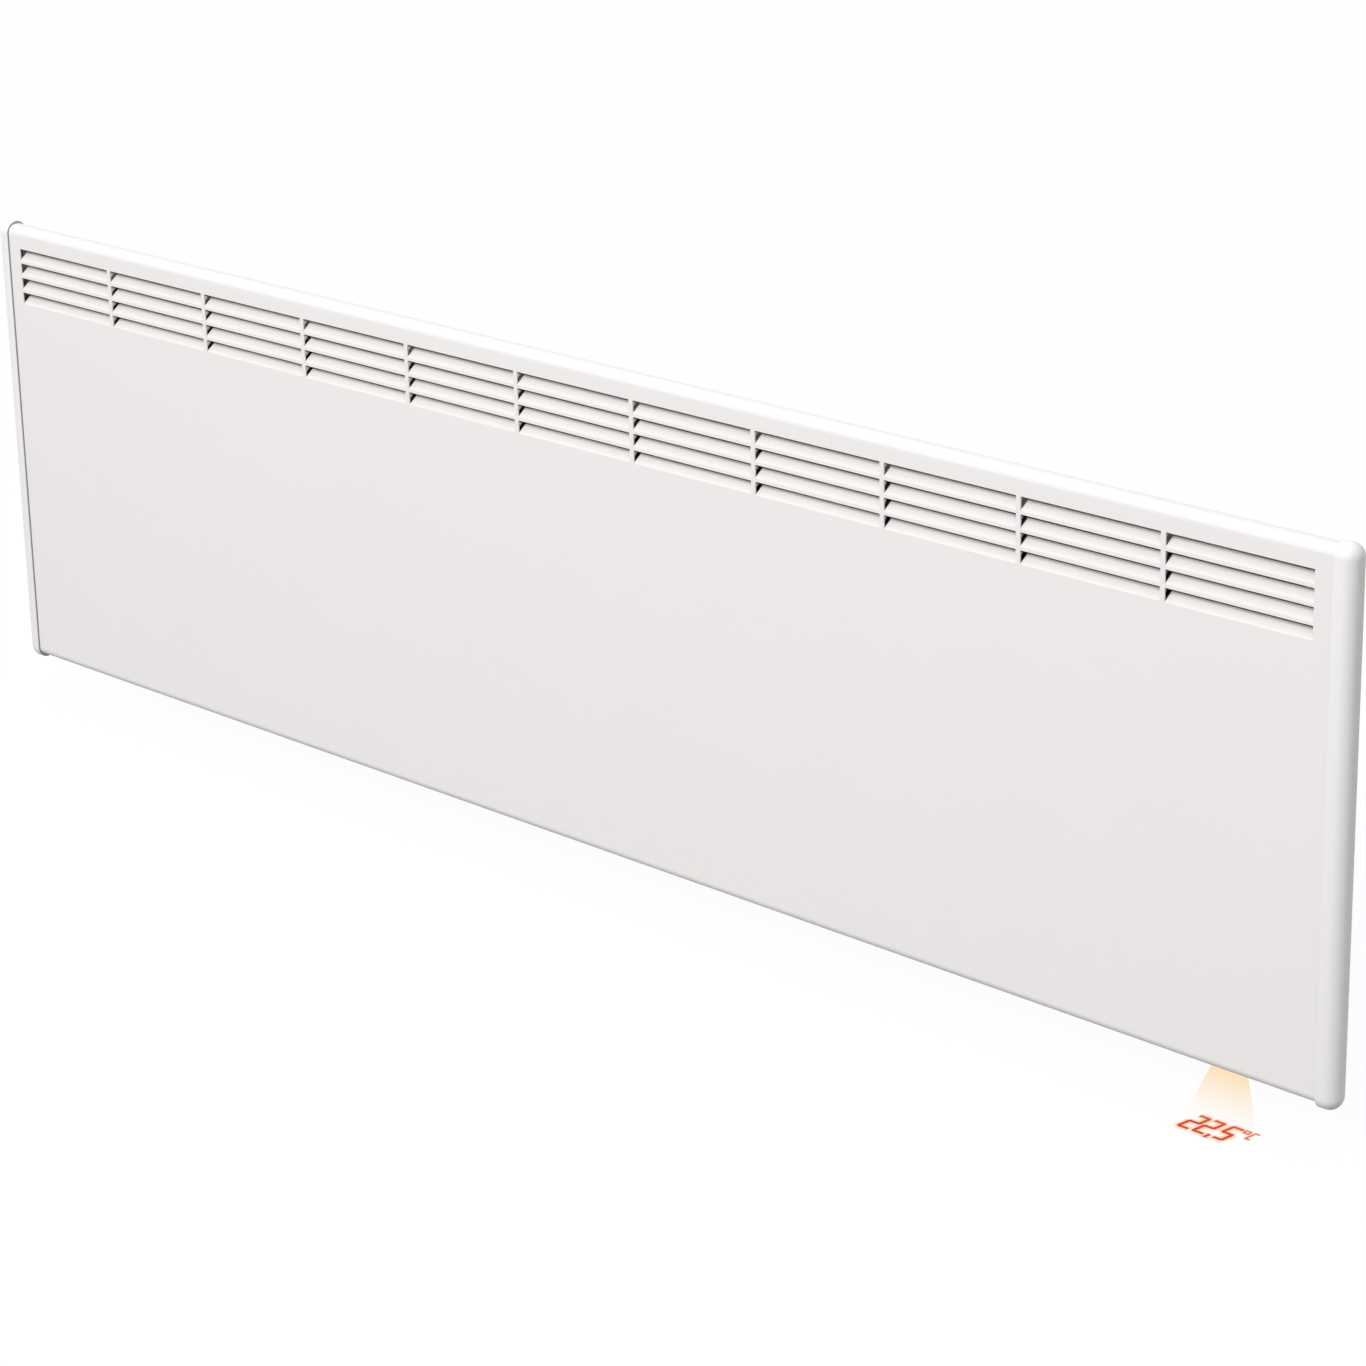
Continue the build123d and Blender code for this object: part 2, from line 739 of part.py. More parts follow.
def element_bushes():
    """Ceramic bushes that carry the sheath in the hangers."""
    bushes = []
    for x in hanger_places:
        bush = rod_x(about(x, bush_length), element_y, element_level, bush_radius)
        groove_x = about(x, hanger_sheet)
        groove = rod_x(groove_x, element_y, element_level, bush_radius)
        groove -= rod_x(groove_x, element_y, element_level, hub_radius)
        bore = rod_x(about(x, 2 * bush_length), element_y, element_level, sheath_radius)
        bushes.append(bush - groove - bore)
    return bushes


def element_hangers():
    """Angle brackets that carry the bushes and, at their front tabs, the baffle."""
    hangers = []
    z_range = about(element_level, 2 * hanger_half_height)
    for x in hanger_places:
        inward = 1 if x < 0 else -1
        arm_y = (baffle_y, casing_inner_y)
        arm = block(about(x, hanger_sheet), arm_y, z_range)
        base_x = sorted((x - inward * hanger_sheet / 2, x + inward * hanger_base_width))
        arm += block(base_x, (casing_inner_y - hanger_sheet, casing_inner_y), z_range)
        tab_x = sorted((x - inward * hanger_sheet / 2, x + inward * baffle_tab_width))
        arm += block(tab_x, (baffle_y, baffle_y + hanger_sheet), z_range)
        arm -= rod_x(about(x, 3 * hanger_sheet), element_y, element_level, hub_radius)
        for rivet_x, rivet_z in hanger_rivet_places():
            if rivet_x * x > 0:
                hole_y = (casing_inner_y - 2 * hanger_sheet, casing_inner_y)
                arm -= rivet_hole(rivet_x, rivet_z, hole_y)
        for rivet_x, rivet_z in baffle_rivet_places():
            if rivet_x * x > 0:
                arm -= rivet_hole(rivet_x, rivet_z, (baffle_y, baffle_y + 2 * hanger_sheet))
        hangers.append(arm)
    return hangers


def hanger_rivet_places():
    """Places in X and Z of the rivets through the hangers' bases."""
    return [
        (x + math.copysign(hanger_rivet_inset, -x), element_level + side * hanger_rivet_level)
        for x in hanger_places
        for side in (-1, 1)
    ]


def baffle_rivet_places():
    """Places in X and Z of the rivets through the hangers' front tabs."""
    return [
        (x + math.copysign(baffle_rivet_inset, -x), element_level + side * baffle_rivet_level)
        for x in hanger_places
        for side in (-1, 1)
    ]


def hanger_rivets():
    """Rivets that hold the hangers to the casing's rear wall."""
    clamp = (casing_inner_y - hanger_sheet, casing_rear_y)
    return [rivet(x, z, clamp) for x, z in hanger_rivet_places()]


def baffle_rivets():
    """Rivets that hold the baffle to the hangers' front tabs."""
    clamp = (baffle_y - shield_sheet, baffle_y + hanger_sheet)
    return [rivet(x, z, clamp) for x, z in baffle_rivet_places()]


def front_baffle():
    """Reflector sheet between the element and the front panel."""
    x_range = (hanger_places[0] - baffle_end_overhang, hanger_places[1] + baffle_end_overhang)
    z_range = about(element_level, 2 * baffle_half_height)
    sheet = block(x_range, (baffle_y - shield_sheet, baffle_y), z_range)
    cut_y = (baffle_y - 2 * shield_sheet, baffle_y + shield_sheet)
    return sheet - [rivet_hole(x, z, cut_y) for x, z in baffle_rivet_places()]


def shield_x_range():
    """Length of the rear shield between the hangers' bases."""
    clear = hanger_base_width + rear_shield_end_gap
    return (hanger_places[0] + clear, hanger_places[1] - clear)


def rear_heat_shield():
    """Reflector sheet with folded edges that stand on the casing's rear wall."""
    x_range = shield_x_range()
    z_range = (rear_shield_low, rear_shield_high)
    shield = block(x_range, (shield_y - shield_sheet, shield_y), z_range)
    fold_y = (shield_y - shield_sheet, casing_inner_y)
    shield += block(x_range, fold_y, (rear_shield_low, rear_shield_low + shield_sheet))
    shield += block(x_range, fold_y, (rear_shield_high - shield_sheet, rear_shield_high))
    return shield


def thermal_cutout():
    """Disc cutout on the rear shield, with two blade terminals."""
    seat = shield_y - shield_sheet
    face = seat - cutout_height
    body = rod_y(cutout_x, (seat - cutout_flange_height, seat), cutout_level, cutout_flange_radius)
    body += rod_y(cutout_x, (face, seat), cutout_level, cutout_radius)
    for side in (-1, 1):
        blade_z = about(cutout_level + side * cutout_blade_offset, cutout_blade_thickness)
        blade_y = (face - cutout_blade_reach, face)
        body += block(about(cutout_x, cutout_blade_width), blade_y, blade_z)
    return body


def control_housing():
    """Open-topped box on the casing's floor, with board posts and a terminal shelf."""
    x_range = (housing_left, housing_right)
    y_range = (housing_front, housing_back)
    box = block(x_range, y_range, (floor_z, housing_top))
    inner_x = (housing_left + housing_wall, housing_right - housing_wall)
    inner_y = (housing_front + housing_wall, housing_back - housing_wall)
    box -= block(inner_x, inner_y, (housing_floor_z, housing_top + housing_wall))
    pieces = [rod_z(x, y, (housing_floor_z, board_bottom), post_radius) for x, y in post_places]
    pieces += [
        rod_z(x, y, (housing_floor_z, housing_floor_z + post_radius), post_radius)
        for x, y in bezel_screw_places()
    ]
    shelf_x = (inner_x[0], block_left + terminal_block_size[0])
    shelf_y = (inner_y[0], block_front + terminal_block_size[1])
    pieces.append(block(shelf_x, shelf_y, (block_low - terminal_shelf_thickness, block_low)))
    box += pieces
    floor_cut = (floor_z - housing_wall, housing_floor_z + post_radius)
    holes = control_holes(floor_cut)
    holes.append(rod_z(gland_x, controls_y, floor_cut, gland_body_radius + hole_clearance))
    wall_x = (housing_left - housing_wall, housing_left + 2 * housing_wall)
    holes += [rod_x(wall_x, y, terminal_z, lead_radius + lead_hole_clearance) for y in terminal_y]
    pilot = (board_bottom - board_screw_length + board_thickness, board_bottom)
    holes += [rod_z(x, y, pilot, board_screw_radius) for x, y in post_places]
    return box - holes


def housing_cover():
    """Lid with a locating lip inside the housing's walls."""
    x_range = (housing_left, housing_right)
    y_range = (housing_front, housing_back)
    lid = block(x_range, y_range, (housing_top, housing_top + cover_thickness))
    fit = housing_wall + hole_clearance
    lip_z = (housing_top - cover_thickness, housing_top)
    lip = block((x_range[0] + fit, x_range[1] - fit), (y_range[0] + fit, y_range[1] - fit), lip_z)
    inner = fit + housing_wall
    inner_x = (x_range[0] + inner, x_range[1] - inner)
    inner_y = (y_range[0] + inner, y_range[1] - inner)
    return lid + (lip - block(inner_x, inner_y, lip_z))


def control_bezel():
    """Face plate of the controls under the casing's floor."""
    y_range = (housing_front + bezel_side_inset, housing_back - bezel_side_inset)
    plate = block((bezel_left, bezel_right), y_range, (bezel_face_z, casing_floor_z))
    plate = fillet(plate.edges().filter_by(Axis.Z), bezel_corner_radius)
    return plate - control_holes((bezel_face_z - casing_sheet, casing_floor_z + casing_sheet))


def bezel_screws():
    """Screws up through the bezel and the casing's floor into the housing."""
    head_z = (bezel_face_z - board_screw_head_height, bezel_face_z)
    shank_z = (bezel_face_z, housing_floor_z + post_radius)
    return [
        rod_z(x, y, head_z, board_screw_head_radius) + rod_z(x, y, shank_z, board_screw_radius)
        for x, y in bezel_screw_places()
    ]


def control_board():
    """Circuit board on the housing's posts."""
    board = block((board_left, board_right), (board_front, board_back), (board_bottom, board_top))
    hole_z = (board_bottom - board_thickness, board_top + board_thickness)
    return board - [rod_z(x, y, hole_z, board_screw_radius) for x, y in post_places]


def board_screws():
    """Screws that hold the board on its posts."""
    head_z = (board_top, board_top + board_screw_head_height)
    shank_z = (board_top - board_screw_length, board_top)
    return [
        rod_z(x, y, head_z, board_screw_head_radius) + rod_z(x, y, shank_z, board_screw_radius)
        for x, y in post_places
    ]


def tact_switches():
    """Tact switches under the board, above the buttons."""
    body_z = (board_bottom - tact_height, board_bottom)
    plunger_z = (body_z[0] - tact_plunger_height, body_z[0])
    switches = []
    for x in button_places:
        body = block(about(x, tact_side), about(controls_y, tact_side), body_z)
        switches.append(body + rod_z(x, controls_y, plunger_z, tact_plunger_radius))
    return switches


def on_board(size, x, y):
    """Block on the board, placed by its left end and its front."""
    return block((x, x + size[0]), (y, y + size[1]), (board_top, board_top + size[2]))


def supply_module():
    """Potted low-voltage supply."""
    body = on_board(supply_size, board_left + supply_inset, controls_y - supply_size[1] / 2)
    return fillet(body.edges().filter_by(Axis.Z), supply_corner_radius)


def power_relay():
    """Relay that switches the element."""
    body = on_board(relay_size, board_left + relay_inset[0], board_front + relay_inset[1])
    return chamfer(body.edges().group_by(Axis.Z)[-1], relay_edge)


def heat_sink():
    """Finned heat sink that stands on the board."""
    x = board_left + sink_inset[0]
    sink = on_board(sink_size, x, sink_front_y)
    y = sink_front_y + sink_size[1]
    pitch = (sink_size[0] - sink_fin_thickness) / (sink_fin_count - 1)
    for index in range(sink_fin_count):
        fin_x = (x + index * pitch, x + index * pitch + sink_fin_thickness)
        sink += block(fin_x, (y, y + sink_fin_depth), (board_top, board_top + sink_size[2]))
    return sink


def triac():
    """Power switch on the heat sink's front face."""
    x = board_left + sink_inset[0] + sink_size[0] / 2
    y = sink_front_y
    low = board_top + triac_lift
    body = block(about(x, triac_size[0]), (y - triac_size[1], y), (low, low + triac_size[2]))
    for side in (-1, 0, 1):
        leg_x = about(x + side * triac_size[0] / 4, triac_leg_side)
        body += block(leg_x, about(y - triac_size[1] / 2, triac_leg_side), (board_top, low))
    return body


def terminal_block():
    """Terminal block on the housing's shelf."""
    size = terminal_block_size
    x_range = (block_left, block_left + size[0])
    y_range = (block_front, block_front + size[1])
    body = block(x_range, y_range, (block_low, block_low + size[2]))
    hole_x = (block_left, block_left + terminal_hole_depth)
    screw_z = (block_low + size[2] - terminal_screw_depth, block_low + size[2])
    for y in terminal_y:
        body -= rod_x(hole_x, y, terminal_z, terminal_hole_radius)
        body -= rod_z(block_left + size[0] / 2, y, screw_z, terminal_screw_radius)
    return body


def readout_led():
    """Light source of the projected readout, under the board."""
    return block(
        about(lens_x, led_side), about(controls_y, led_side), (board_bottom - led_height, board_bottom)
    )


def readout_barrel():
    """Tube that holds the readout's mask and lens."""
    z_range = (bezel_face_z - barrel_stand, board_bottom - barrel_board_gap)
    tube = rod_z(lens_x, controls_y, z_range, barrel_radius)
    return tube - rod_z(lens_x, controls_y, z_range, barrel_radius - barrel_wall)


def readout_mask():
    """Disc that carries the digits' shutters."""
    high = board_bottom - mask_board_distance
    return rod_z(lens_x, controls_y, (high - mask_thickness, high), barrel_radius - barrel_wall)


def readout_lens():
    """Plano-convex lens at the barrel's lower end."""
    radius = barrel_radius - barrel_wall
    low = bezel_face_z - barrel_stand + lens_recess
    high = low + lens_dome + lens_rim
    ball_radius = (radius**2 + lens_dome**2) / (2 * lens_dome)
    ball = Pos(lens_x, controls_y, low + ball_radius) * Sphere(ball_radius)
    return rod_z(lens_x, controls_y, (low, high), radius) & ball


def room_sensor():
    """Air temperature probe that hangs below the bezel."""
    tip = bezel_face_z - sensor_stand
    probe = rod_z(sensor_x, controls_y, (tip, bezel_face_z + sensor_inner_reach), sensor_radius)
    probe = fillet(probe.edges().group_by(Axis.Z)[0], sensor_tip_radius)
    flange_z = (bezel_face_z - sensor_flange_height, bezel_face_z)
    return probe + rod_z(sensor_x, controls_y, flange_z, sensor_flange_radius)


def cable_gland():
    """Gland for the supply cable through the casing's floor."""
    low = casing_floor_z - gland_flange_height
    nose = low - gland_nose_height
    high = casing_floor_z + gland_inner_reach
    body = rod_z(gland_x, controls_y, (low, casing_floor_z), gland_flange_radius)
    body += rod_z(gland_x, controls_y, (casing_floor_z, high), gland_body_radius)
    tip = rod_z(gland_x, controls_y, (nose, low), gland_nose_radius)
    body += chamfer(tip.edges().group_by(Axis.Z)[0], gland_nose_chamfer)
    return body - rod_z(gland_x, controls_y, (nose, high), gland_bore_radius)


def gland_nut():
    """Nut that clamps the gland to the housing's floor."""
    outline = RegularPolygon(gland_nut_across / 2, 6, major_radius=False, rotation=30)
    nut = extrude(outline, gland_nut_height)
    nut -= Pos(0, 0, gland_nut_height / 2) * Cylinder(gland_body_radius, gland_nut_height)
    return Pos(gland_x, controls_y, housing_floor_z) * nut


def rocker_frame():
    """Snap-in body of the main switch."""
    flange_z = (rocker_face_z, bezel_face_z)
    body = block(
        about(rocker_x, rocker_flange_length), about(controls_y, rocker_flange_width), flange_z
    )
    body = fillet(body.edges().filter_by(Axis.Z), rocker_corner_radius)
    top = bezel_face_z + rocker_body_height
    body += block(
        about(rocker_x, rocker_body_length), about(controls_y, rocker_body_width), (bezel_face_z, top)
    )
    for side in (-1, 1):
        blade_x = about(rocker_x + side * rocker_blade_spacing, rocker_blade_thickness)
        blade_y = about(controls_y, rocker_blade_width)
        body += block(blade_x, blade_y, (top, top + rocker_blade_reach))
    pocket_z = (rocker_face_z, rocker_face_z + rocker_pocket_depth)
    body -= block(
        about(rocker_x, rocker_pocket_length), about(controls_y, rocker_pocket_width), pocket_z
    )
    hole_radius = rocker_pivot_radius + rocker_pivot_clearance
    hole_length = rocker_paddle_width + 2 * rocker_pivot_reach + 4 * rocker_pivot_clearance
    return body - rod_y(rocker_x, about(controls_y, hole_length), rocker_pivot_z, hole_radius)


def rocker_paddle():
    """Paddle of the main switch, resting on its off side."""
    half = rocker_paddle_length / 2
    top = rocker_pivot_z + rocker_paddle_rise
    corners = [
        (rocker_x - half, top),
        (rocker_x - half, rocker_face_z - rocker_paddle_stand),
        (rocker_x, rocker_face_z - rocker_paddle_valley),
        (rocker_x + half, rocker_face_z - rocker_paddle_stand),
        (rocker_x + half, top),
    ]
    face = Plane.XZ * Polygon(*corners, align=None)
    paddle = Pos(0, controls_y, 0) * extrude(face, amount=rocker_paddle_width / 2, both=True)
    pin_length = rocker_paddle_width + 2 * rocker_pivot_reach
    paddle += rod_y(rocker_x, about(controls_y, pin_length), rocker_pivot_z, rocker_pivot_radius)
    pivot = Pos(rocker_x, 0, rocker_pivot_z)
    return pivot * Rot(0, -rocker_rest_angle, 0) * pivot.inverse() * paddle


def push_button(x):
    """Round button with a retaining flange and a stem under its tact switch."""
    face = bezel_face_z - button_stand
    flange_low = housing_floor_z + button_flange_gap
    flange_high = flange_low + button_flange_height
    tact_low = board_bottom - tact_height - tact_plunger_height
    stem_high = tact_low - button_travel - button_end_gap
    button = rod_z(x, controls_y, (face, flange_low), button_radius)
    button = fillet(button.edges().group_by(Axis.Z)[0], button_edge_radius)
    button += rod_z(x, controls_y, (flange_low, flange_high), button_flange_radius)
    return button + rod_z(x, controls_y, (flange_high, stem_high), button_stem_radius)


def mark_bar(x, length_x, length_y):
    """Cutter for one bar of a button's mark."""
    face = bezel_face_z - button_stand
    return block(about(x, length_x), about(controls_y, length_y), (face, face + mark_depth))


def minus_button():
    """Button that lowers the set temperature."""
    return push_button(minus_x) - mark_bar(minus_x, mark_length, mark_width)


def plus_button():
    """Button that raises the set temperature."""
    button = push_button(plus_x) - mark_bar(plus_x, mark_length, mark_width)
    return button - mark_bar(plus_x, mark_width, mark_length)


def mode_button():
    """Button that steps through the modes, marked with a ring."""
    face = bezel_face_z - button_stand
    ring = rod_z(mode_x, controls_y, (face, face + mark_depth), mark_ring_radius + mark_width / 2)
    ring -= rod_z(mode_x, controls_y, (face, face + mark_depth), mark_ring_radius - mark_width / 2)
    return push_button(mode_x) - ring


def lead(points):
    """Insulated lead along straight runs joined by arcs as large as the runs allow."""
    route = [Vector(*point) for point in points]
    radii = []
    for before, corner, after in zip(route, route[1:], route[2:]):
        run_in = corner - before
        run_out = after - corner
        turn = math.radians(run_in.get_angle(run_out))
        shorter = min(run_in.length, run_out.length)
        radii.append(lead_corner_share * shorter / math.tan(turn / 2))
    with BuildLine() as path:
        FilletPolyline(*route, radius=radii)
    start = Plane(origin=path.line @ 0, z_dir=path.line % 0)
    return sweep(start * Circle(lead_radius), path=path.line)


terminal_x = block_left + terminal_hole_depth
lead_turn_x = housing_left - lead_turn_gap


def cutout_lead():
    """Lead from the terminal block to the cutout's upper blade."""
    blade_y = shield_y - shield_sheet - cutout_height - cutout_blade_reach
    blade_z = cutout_level + cutout_blade_offset
    y = terminal_y[0]
    return lead([
        (cutout_x, blade_y, blade_z),
        (cutout_x, blade_y - 8, blade_z),
        (cutout_x + 20, blade_y - 10, blade_z + 2),
        (lead_turn_x - 6, y, blade_z - 4),
        (lead_turn_x, y, terminal_z + 24),
        (lead_turn_x + 3, y, terminal_z),
        (terminal_x, y, terminal_z),
    ])


def right_element_lead():
    """Lead from the cutout's lower blade to the element's right terminal pin."""
    blade_y = shield_y - shield_sheet - cutout_height - cutout_blade_reach
    blade_z = cutout_level - cutout_blade_offset
    pin_x = fins_right + sheath_reach + terminal_reach / 2
    pin_z = element_level + terminal_radius + lead_end_gap
    return lead([
        (cutout_x, blade_y, blade_z),
        (cutout_x, blade_y - 8, blade_z),
        (cutout_x + 18, blade_y - 10, blade_z - 3),
        (pin_x - 14, element_y - 4, blade_z - 10),
        (pin_x, element_y, pin_z + 20),
        (pin_x, element_y, pin_z),
    ])


def left_element_lead():
    """Lead from the element's left terminal pin along the casing's floor to the terminal block."""
    pin_x = fins_left - sheath_reach - terminal_reach / 2
    pin_z = element_level - terminal_radius - lead_end_gap
    y = terminal_y[1]
    return lead([
        (pin_x, element_y, pin_z),
        (pin_x, element_y, pin_z - 22),
        (pin_x + 8, lead_run_y, lead_run_level),
        (fins_right + 14, lead_run_y, lead_run_level),
        (lead_turn_x - 4, y, terminal_z),
        (terminal_x, y, terminal_z),
    ])


def earth_lead():
    """Lead from the terminal block to the earth stud."""
    x = housing_left - earth_module_gap
    y = terminal_y[2]
    ring_y = casing_inner_y - stud_nut_height - ring_thickness / 2
    barrel_z = earth_level - ring_radius - ring_barrel_length / 2
    return lead([
        (x, ring_y, barrel_z),
        (x, ring_y, barrel_z - 12),
        (x + 7, y, terminal_z),
        (terminal_x, y, terminal_z),
    ])


def lead_clips():
    """Clips that hold the long lead to the casing's rear wall."""
    low = fins_left + clip_end_inset
    high = fins_right - clip_end_inset
    pitch = (high - low) / (clip_count - 1)
    clips = []
    for index in range(clip_count):
        x = low + index * pitch
        outer = lead_radius + clip_wall
        clip = rod_x(about(x, clip_width), lead_run_y, lead_run_level, outer)
        foot_z = about(lead_run_level, 2 * outer)
        clip += block(about(x, clip_width), (lead_run_y, casing_inner_y), foot_z)
        hole_radius = lead_radius + clip_clearance
        hole = rod_x(about(x, 2 * clip_width), lead_run_y, lead_run_level, hole_radius)
        clips.append(clip - hole)
    return clips


def earth_stud():
    """Stud welded to the casing's rear wall."""
    x = housing_left - earth_module_gap
    return rod_y(x, (casing_inner_y - stud_length, casing_inner_y), earth_level, stud_radius)


def earth_fixings():
    """Two nuts on the earth stud with the lead's ring between them."""
    x = housing_left - earth_module_gap
    pieces = []
    for start in (casing_inner_y, casing_inner_y - stud_nut_height - ring_thickness):
        nut = extrude(RegularPolygon(stud_nut_across / 2, 6, major_radius=False), stud_nut_height)
        nut -= Pos(0, 0, stud_nut_height / 2) * Cylinder(stud_radius, stud_nut_height)
        pieces.append(Pos(x, start, earth_level) * Rot(90, 0, 0) * nut)
    ring_y = (casing_inner_y - stud_nut_height - ring_thickness, casing_inner_y - stud_nut_height)
    ring = rod_y(x, ring_y, earth_level, ring_radius)
    barrel_low = earth_level - ring_radius - ring_barrel_length
    middle_y = (ring_y[0] + ring_y[1]) / 2
    ring += rod_z(x, middle_y, (barrel_low, earth_level - ring_radius / 2), ring_barrel_radius)
    ring -= rod_y(x, ring_y, earth_level, stud_radius)
    bore_z = (barrel_low, barrel_low + ring_barrel_length / 2)
    ring -= rod_z(x, middle_y, bore_z, lead_radius)
    pieces.append(ring)
    return pieces


def hinge_ears():
    """U-shaped brackets whose open saddles sit on the wall bracket's hinge pins."""
    saddle_radius = hinge_pin_radius + hinge_pin_clearance
    ears = []
    for x in rail_places:
        base_z = (hinge_level - ear_base_below, hinge_level + ear_base_above)
        base_y = (casing_rear_y, casing_rear_y + ear_sheet)
        bracket = block(about(x, 2 * ear_half), base_y, base_z)
        ear_y = (casing_rear_y, hinge_y + ear_reach)
        ear_z = (hinge_level - ear_below, hinge_level + ear_above)
        for side in (-1, 1):
            ear_x = sorted((x + side * ear_half, x + side * (ear_half - ear_sheet)))
            bracket += block(ear_x, ear_y, ear_z)
        slot_x = about(x, 2 * ear_half)
        bracket -= rod_x(slot_x, hinge_y, hinge_level, saddle_radius)
        slot_z = (hinge_level - 2 * saddle_radius, hinge_level)
        bracket -= block(slot_x, about(hinge_y, 2 * saddle_radius), slot_z)
        hole_y = (casing_rear_y, casing_rear_y + 2 * ear_sheet)
        for side in (-1, 1):
            rivet_x = x + side * ear_half / 2
            bracket -= rivet_hole(rivet_x, hinge_level + ear_rivet_height, hole_y)
        ears.append(bracket)
    return ears


def catch_blades():
    """Angle plates whose tongues enter the wall bracket's spring clips."""
    blades = []
    for x in rail_places:
        base_y = (casing_rear_y, casing_rear_y + catch_base_sheet)
        base_z = about(catch_level, 2 * catch_base_half_height)
        plate = block(about(x, catch_base_width), base_y, base_z)
        tongue_y = (casing_rear_y, casing_rear_y + catch_base_sheet + catch_blade_reach)
        tongue_z = about(catch_level, catch_blade_thickness)
        tongue = block(about(x, catch_blade_width), tongue_y, tongue_z)
        tip_edges = tongue.edges().group_by(Axis.Y)[-1].filter_by(Axis.X)
        plate += chamfer(tip_edges, catch_blade_chamfer)
        hole_y = (casing_rear_y, casing_rear_y + 2 * catch_base_sheet)
        for side in (-1, 1):
            rivet_x = x + side * catch_rivet_spacing / 2
            plate -= rivet_hole(rivet_x, catch_level - catch_rivet_drop, hole_y)
        blades.append(plate)
    return blades


def rear_rivet_places():
    """Places in X and Z of the rivets through the casing's rear wall."""
    ears = [
        (x + side * ear_half / 2, hinge_level + ear_rivet_height)
        for x in rail_places
        for side in (-1, 1)
    ]
    blades = [
        (x + side * catch_rivet_spacing / 2, catch_level - catch_rivet_drop)
        for x in rail_places
        for side in (-1, 1)
    ]
    return ears + blades


def rear_rivets():
    """Rivets that hold the hinge ears and the catch blades to the casing."""
    rivets = []
    for x, z in rear_rivet_places():
        sheet = ear_sheet if z < 0 else catch_base_sheet
        rivets.append(rivet(x, z, (casing_inner_y, casing_rear_y + sheet)))
    return rivets


def bracket_rails():
    """Upright channels on the wall, each with a fork for its hinge pin."""
    rails = []
    for x in rail_places:
        height = (rail_bottom, rail_top)
        rail = block(about(x, rail_width), (bracket_face_y, 0), height)
        for side in (-1, 1):
            outer = x + side * rail_width / 2
            flange_x = sorted((outer, outer - side * bracket_sheet))
            flange_low = (rail_bottom, crossbar_level + crossbar_width)
            rail += block(flange_x, (bracket_face_y - rail_flange, 0), flange_low)
            fork_z = (hinge_level - fork_below, hinge_level + fork_above)
            fork = block(flange_x, (hinge_y - fork_reach, 0), fork_z)
            front_edges = fork.edges().filter_by(Axis.X).group_by(Axis.Y)[0]
            rail += fillet(front_edges, fork_corner_radius)
        for level in (-crossbar_level, crossbar_level):
            notch_y = (bracket_face_y - 2 * rail_flange, bracket_face_y)
            notch_z = about(level, crossbar_width + 2 * crossbar_notch_gap)
            rail -= block(about(x, 2 * rail_width), notch_y, notch_z)
        for side in (-1, 1):
            z = side * screw_spacing_z / 2
            rail -= rod_y(x, about(0, 4 * bracket_sheet), z, wall_screw_hole_radius)
            rail -= rivet_hole(x, side * crossbar_level, about(0, 4 * bracket_sheet))
        rail -= rivet_hole(x, clip_rivet_level(), about(0, 4 * bracket_sheet))
        rail -= rod_x(about(x, 2 * rail_width), hinge_y, hinge_level, hinge_pin_radius)
        rails.append(rail)
    return rails


def bracket_crossbars():
    """Flat bars that space the two rails."""
    half = screw_spacing_x / 2 + rail_width / 2 + crossbar_end_overhang
    bars = []
    for side in (-1, 1):
        level = side * crossbar_level
        y_range = (bracket_face_y - bracket_sheet, bracket_face_y)
        bar = block(about(0, 2 * half), y_range, about(level, crossbar_width))
        bar = fillet(bar.edges().filter_by(Axis.Y), crossbar_corner_radius)
        bars.append(bar - [rivet_hole(x, level, (-4 * bracket_sheet, 0)) for x in rail_places])
    return bars


def crossbar_rivets():
    """Rivets through the crossbars and the rails, flush with the wall side."""
    rivets = []
    for x in rail_places:
        for side in (-1, 1):
            z = side * crossbar_level
            face = bracket_face_y - bracket_sheet
            shank = rod_y(x, (face, 0), z, rivet_shank_radius)
            rivets.append(shank + rod_y(x, (face - rivet_head_height, face), z, rivet_head_radius))
    return rivets


def hinge_pins():
    """Headed pins across the rails' forks."""
    pins = []
    for x in rail_places:
        half = rail_width / 2
        pin = rod_x(about(x, 2 * half), hinge_y, hinge_level, hinge_pin_radius)
        for side in (-1, 1):
            head_x = sorted((x + side * half, x + side * (half + hinge_pin_head_height)))
            pin += rod_x(head_x, hinge_y, hinge_level, hinge_pin_head_radius)
        pins.append(pin)
    return pins


def clip_rivet_level():
    """Height of the rivet through a spring clip's foot."""
    return catch_level - catch_blade_thickness / 2 - jaw_gap - clip_rivet_drop


def spring_clips():
    """Spring strips whose flared jaws hold the catch blades."""
    clips = []
    open_half = catch_blade_thickness / 2 + jaw_gap
    back_y = (bracket_face_y - clip_strip, bracket_face_y)
    for x in rail_places:
        low = catch_level - open_half - clip_foot_height
        high = catch_level + open_half + clip_strip
        width = about(x, clip_strip_width)
        clip = block(width, back_y, (low, high))
        for side in (-1, 1):
            inner = catch_level + side * open_half
            outer = inner + side * clip_strip
            lip = outer + side * jaw_flare
            corners = [
                (bracket_face_y, inner),
                (jaw_mouth_y, inner),
                (jaw_mouth_y - jaw_flare_length, lip - side * clip_strip),
                (jaw_mouth_y - jaw_flare_length, lip),
                (jaw_mouth_y, outer),
                (bracket_face_y, outer),
            ]
            jaw = extrude(
                Plane.YZ.offset(x) * Polygon(*corners, align=None),
                amount=clip_strip_width / 2,
                both=True,
            )
            clip += jaw
        hole_y = (bracket_face_y - 4 * clip_strip, bracket_face_y)
        clips.append(clip - rivet_hole(x, clip_rivet_level(), hole_y))
    return clips


